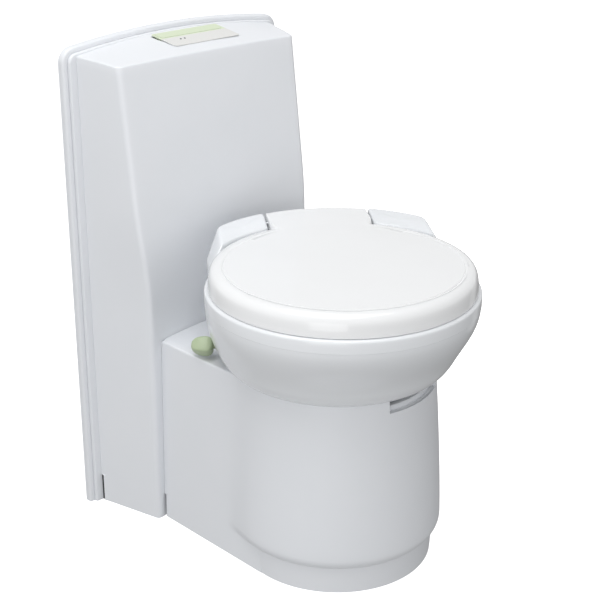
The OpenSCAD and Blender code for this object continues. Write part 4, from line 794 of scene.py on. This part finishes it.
# Sections from the shoulder down to the edge, as inset and height, for the round skirt and for the tab.
skirt_in = np.array([17, 12, 9, 6.3, 4.2, 2.6, 1.5, 0.8, 0.35, 0.1, 0.0, 0.3])[:, None]
skirt_z = np.array([490.9, 489.7, 488.4, 486.4, 483.9, 480.9, 477.3, 472.5, 466.5, 461, 458.2, lid_low])[:, None]
tab_in = np.array([17, 12, 9, 6.3, 4.2, 2.8, 1.6, 0.8, 0.3, 0.0, 0.0, 0.3])[:, None]
tab_z = np.array([493.5, 493.5, 493.5, 493.45, 493.3, 492.9, 492.2, 491.0, 489.2, 486, 477, tab_low])[:, None]
shoulder_r = reach - (skirt_in * (1 - w) + tab_in * w)
shoulder_z = skirt_z * (1 - w) + tab_z * w
# The line is an ellipse round a point ahead of the lid's middle, met from there by solving a quadratic.
sx, sy = np.sin(lean) / line_rx, np.cos(lean) / line_ry
off = (line_ahead - rim_ahead) / line_ry
line_r = (-off * sy + np.sqrt((off * sy) ** 2 + (sx ** 2 + sy ** 2) * (1 - off ** 2))) / (sx ** 2 + sy ** 2)
q_in = np.linspace(0, 1, 20)[:, None]
flat_r = (line_r - 0.8) * q_in
line_z = line_top + tab_lift * (1 - ramp(12, 50, b))
flat_z = lid_top - (lid_top - line_z) * q_in ** 2.2
groove_r = line_r + np.array([0.0, 1.6, 4.0])[:, None]
groove_z = line_z - np.array([1.0, 0.15, 0.25])[:, None] * line_drop * ramp(24, 50, b)
# Underneath, the same two sections from the edge up into the hollow, and then across to the middle.
under_in = np.array([3.2, 3.2, 3.4, 4.2, 6.5, 10, 15, hollow_r])[:, None]
skirt_under_z = np.array([lid_low, 470, 478, 483.5, 486.8, 488.4, 488.9, hollow_top])[:, None]
tab_under_z = np.array([tab_low, 482, 486, 488.2, 489.2, 489.5, 489.6, hollow_top + tab_rise])[:, None]
under_z = skirt_under_z * (1 - w) + tab_under_z * w
inner_q = np.linspace(1, 0, 14)[1:, None]
inner_r = (reach - hollow_r) * inner_q
inner_z = hollow_top + tab_rise * w * inner_q
r = np.concatenate([flat_r, groove_r, shoulder_r, reach - under_in, inner_r])
z = np.concatenate([flat_z, groove_z, shoulder_z, under_z, inner_z])
lid_points = np.stack([r * np.sin(lean), -rim_ahead + r * np.cos(lean), z], -1)
lid_arm = np.concatenate([[[hinge_y - arm_r, lid_arm_top]], knuckle(180, 360), [[hinge_y + arm_r, lid_arm_top]]])
lid = build_piece("lid_cover", [(lid_points, False, True)] + arm_pair(*lid_arm_x, lid_arm), in_bowl=True, crease=50)
lid.data.materials.append(seat_gloss)
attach(lid, "lid")
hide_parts("lid_shell", "lid_tab")

# ---- Valve lever ----
# A sage green knob on a steel-stiffened arm: four soft flats with an edge upward, widest behind the middle and
# drawn in to a rounded nose. It is pushed on to the arm that turns the valve under the bowl.
lever_dir, knob_end, knob_l, knob_r, knob_widest = 167.4, 225.0, 35.0, 12.9525, 0.36
a = np.linspace(0, np.pi, 36)[:, None]
u = (1 - np.cos(a)) / 2
# The half thickness along the knob, from its foot at u = 0: one power curve up to the widest place, one down.
foot_part = np.maximum(0, 1 - np.abs(1 - u / knob_widest) ** 2.8) ** 0.45
nose_part = np.maximum(0, 1 - np.abs((u - knob_widest) / (1 - knob_widest)) ** 2.1) ** 0.38
rise = np.where(u < knob_widest, foot_part, nose_part)
# The section is a superellipse turned by 45 degrees, rounder towards the nose.
beta = np.radians(np.linspace(0, 360, 64, endpoint=False))[None]
power = 6.5 - 1.5 * ramp(0.8, 1.0, u)
turned = beta + np.pi / 4
squared = (np.abs(np.cos(turned)) ** power + np.abs(np.sin(turned)) ** power) ** (-1 / power)
r = knob_r * rise * squared
out = knob_end - knob_l + knob_l * u
d = np.radians(lever_dir)
across = r * np.cos(beta)
knob_points = np.stack([out * np.cos(d) - across * np.sin(d), out * np.sin(d) + across * np.cos(d),
                        lever_z + r * np.sin(beta)], -1)
knob = build_piece("lever_knob_green", [(knob_points, False, True)], in_bowl=True, crease=80)
# Sage green ABS with a satin skin: soft light on each flat. The acetal arm is darker and catches a thin sheen.
sage = moulded("sage_green_abs_satin", "B6C4A4", "AAB996", 0.36, 1.6, 3.5, mottle_mm=30)
dark_sage = moulded("dark_sage_acetal_moulded", "88936F", "7C8764", 0.40, 1.6, 2.5, mottle_mm=30)
knob.data.materials.append(sage)
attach(knob, "lever")
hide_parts("lever_knob")
dress(dark_sage, "lever_arm")
dress(dark_pp, "lever_hub")

# ---- Cassette ----
# The waste tank is blow moulded in grey polyethylene with a coarse skin. Valve housing, spout and cap are screwed
# to its top, and it rolls on two wheels and is carried by the handle at its rear.
# The blown skin looks coarse and flat grey. The foam float is bright and open-pored, without a sheen.
tank_grey = moulded("grey_polyethylene_blow_moulded", "C7CCD1", "BDC2C8", 0.5, 1.4, 16.0)
foam_yellow = moulded("yellow_foam_float", "D8A23A", "CC9730", 0.8, 1.2, 30.0, mottle_mm=8)
dress(tank_grey, "waste_tank", "handle_brackets")
dress(dark_pp, "valve_housing", "spout_base", "pour_spout")
dress(black_seal_and_shade, "lip_seal")
dress(black_pp, "valve_blade", "carry_handle", "cassette_wheels")
dress(pin_steel, "blade_pin", "wheel_axle")
dress(sage, "spout_cap", "vent_button")
dress(foam_yellow, "level_float")
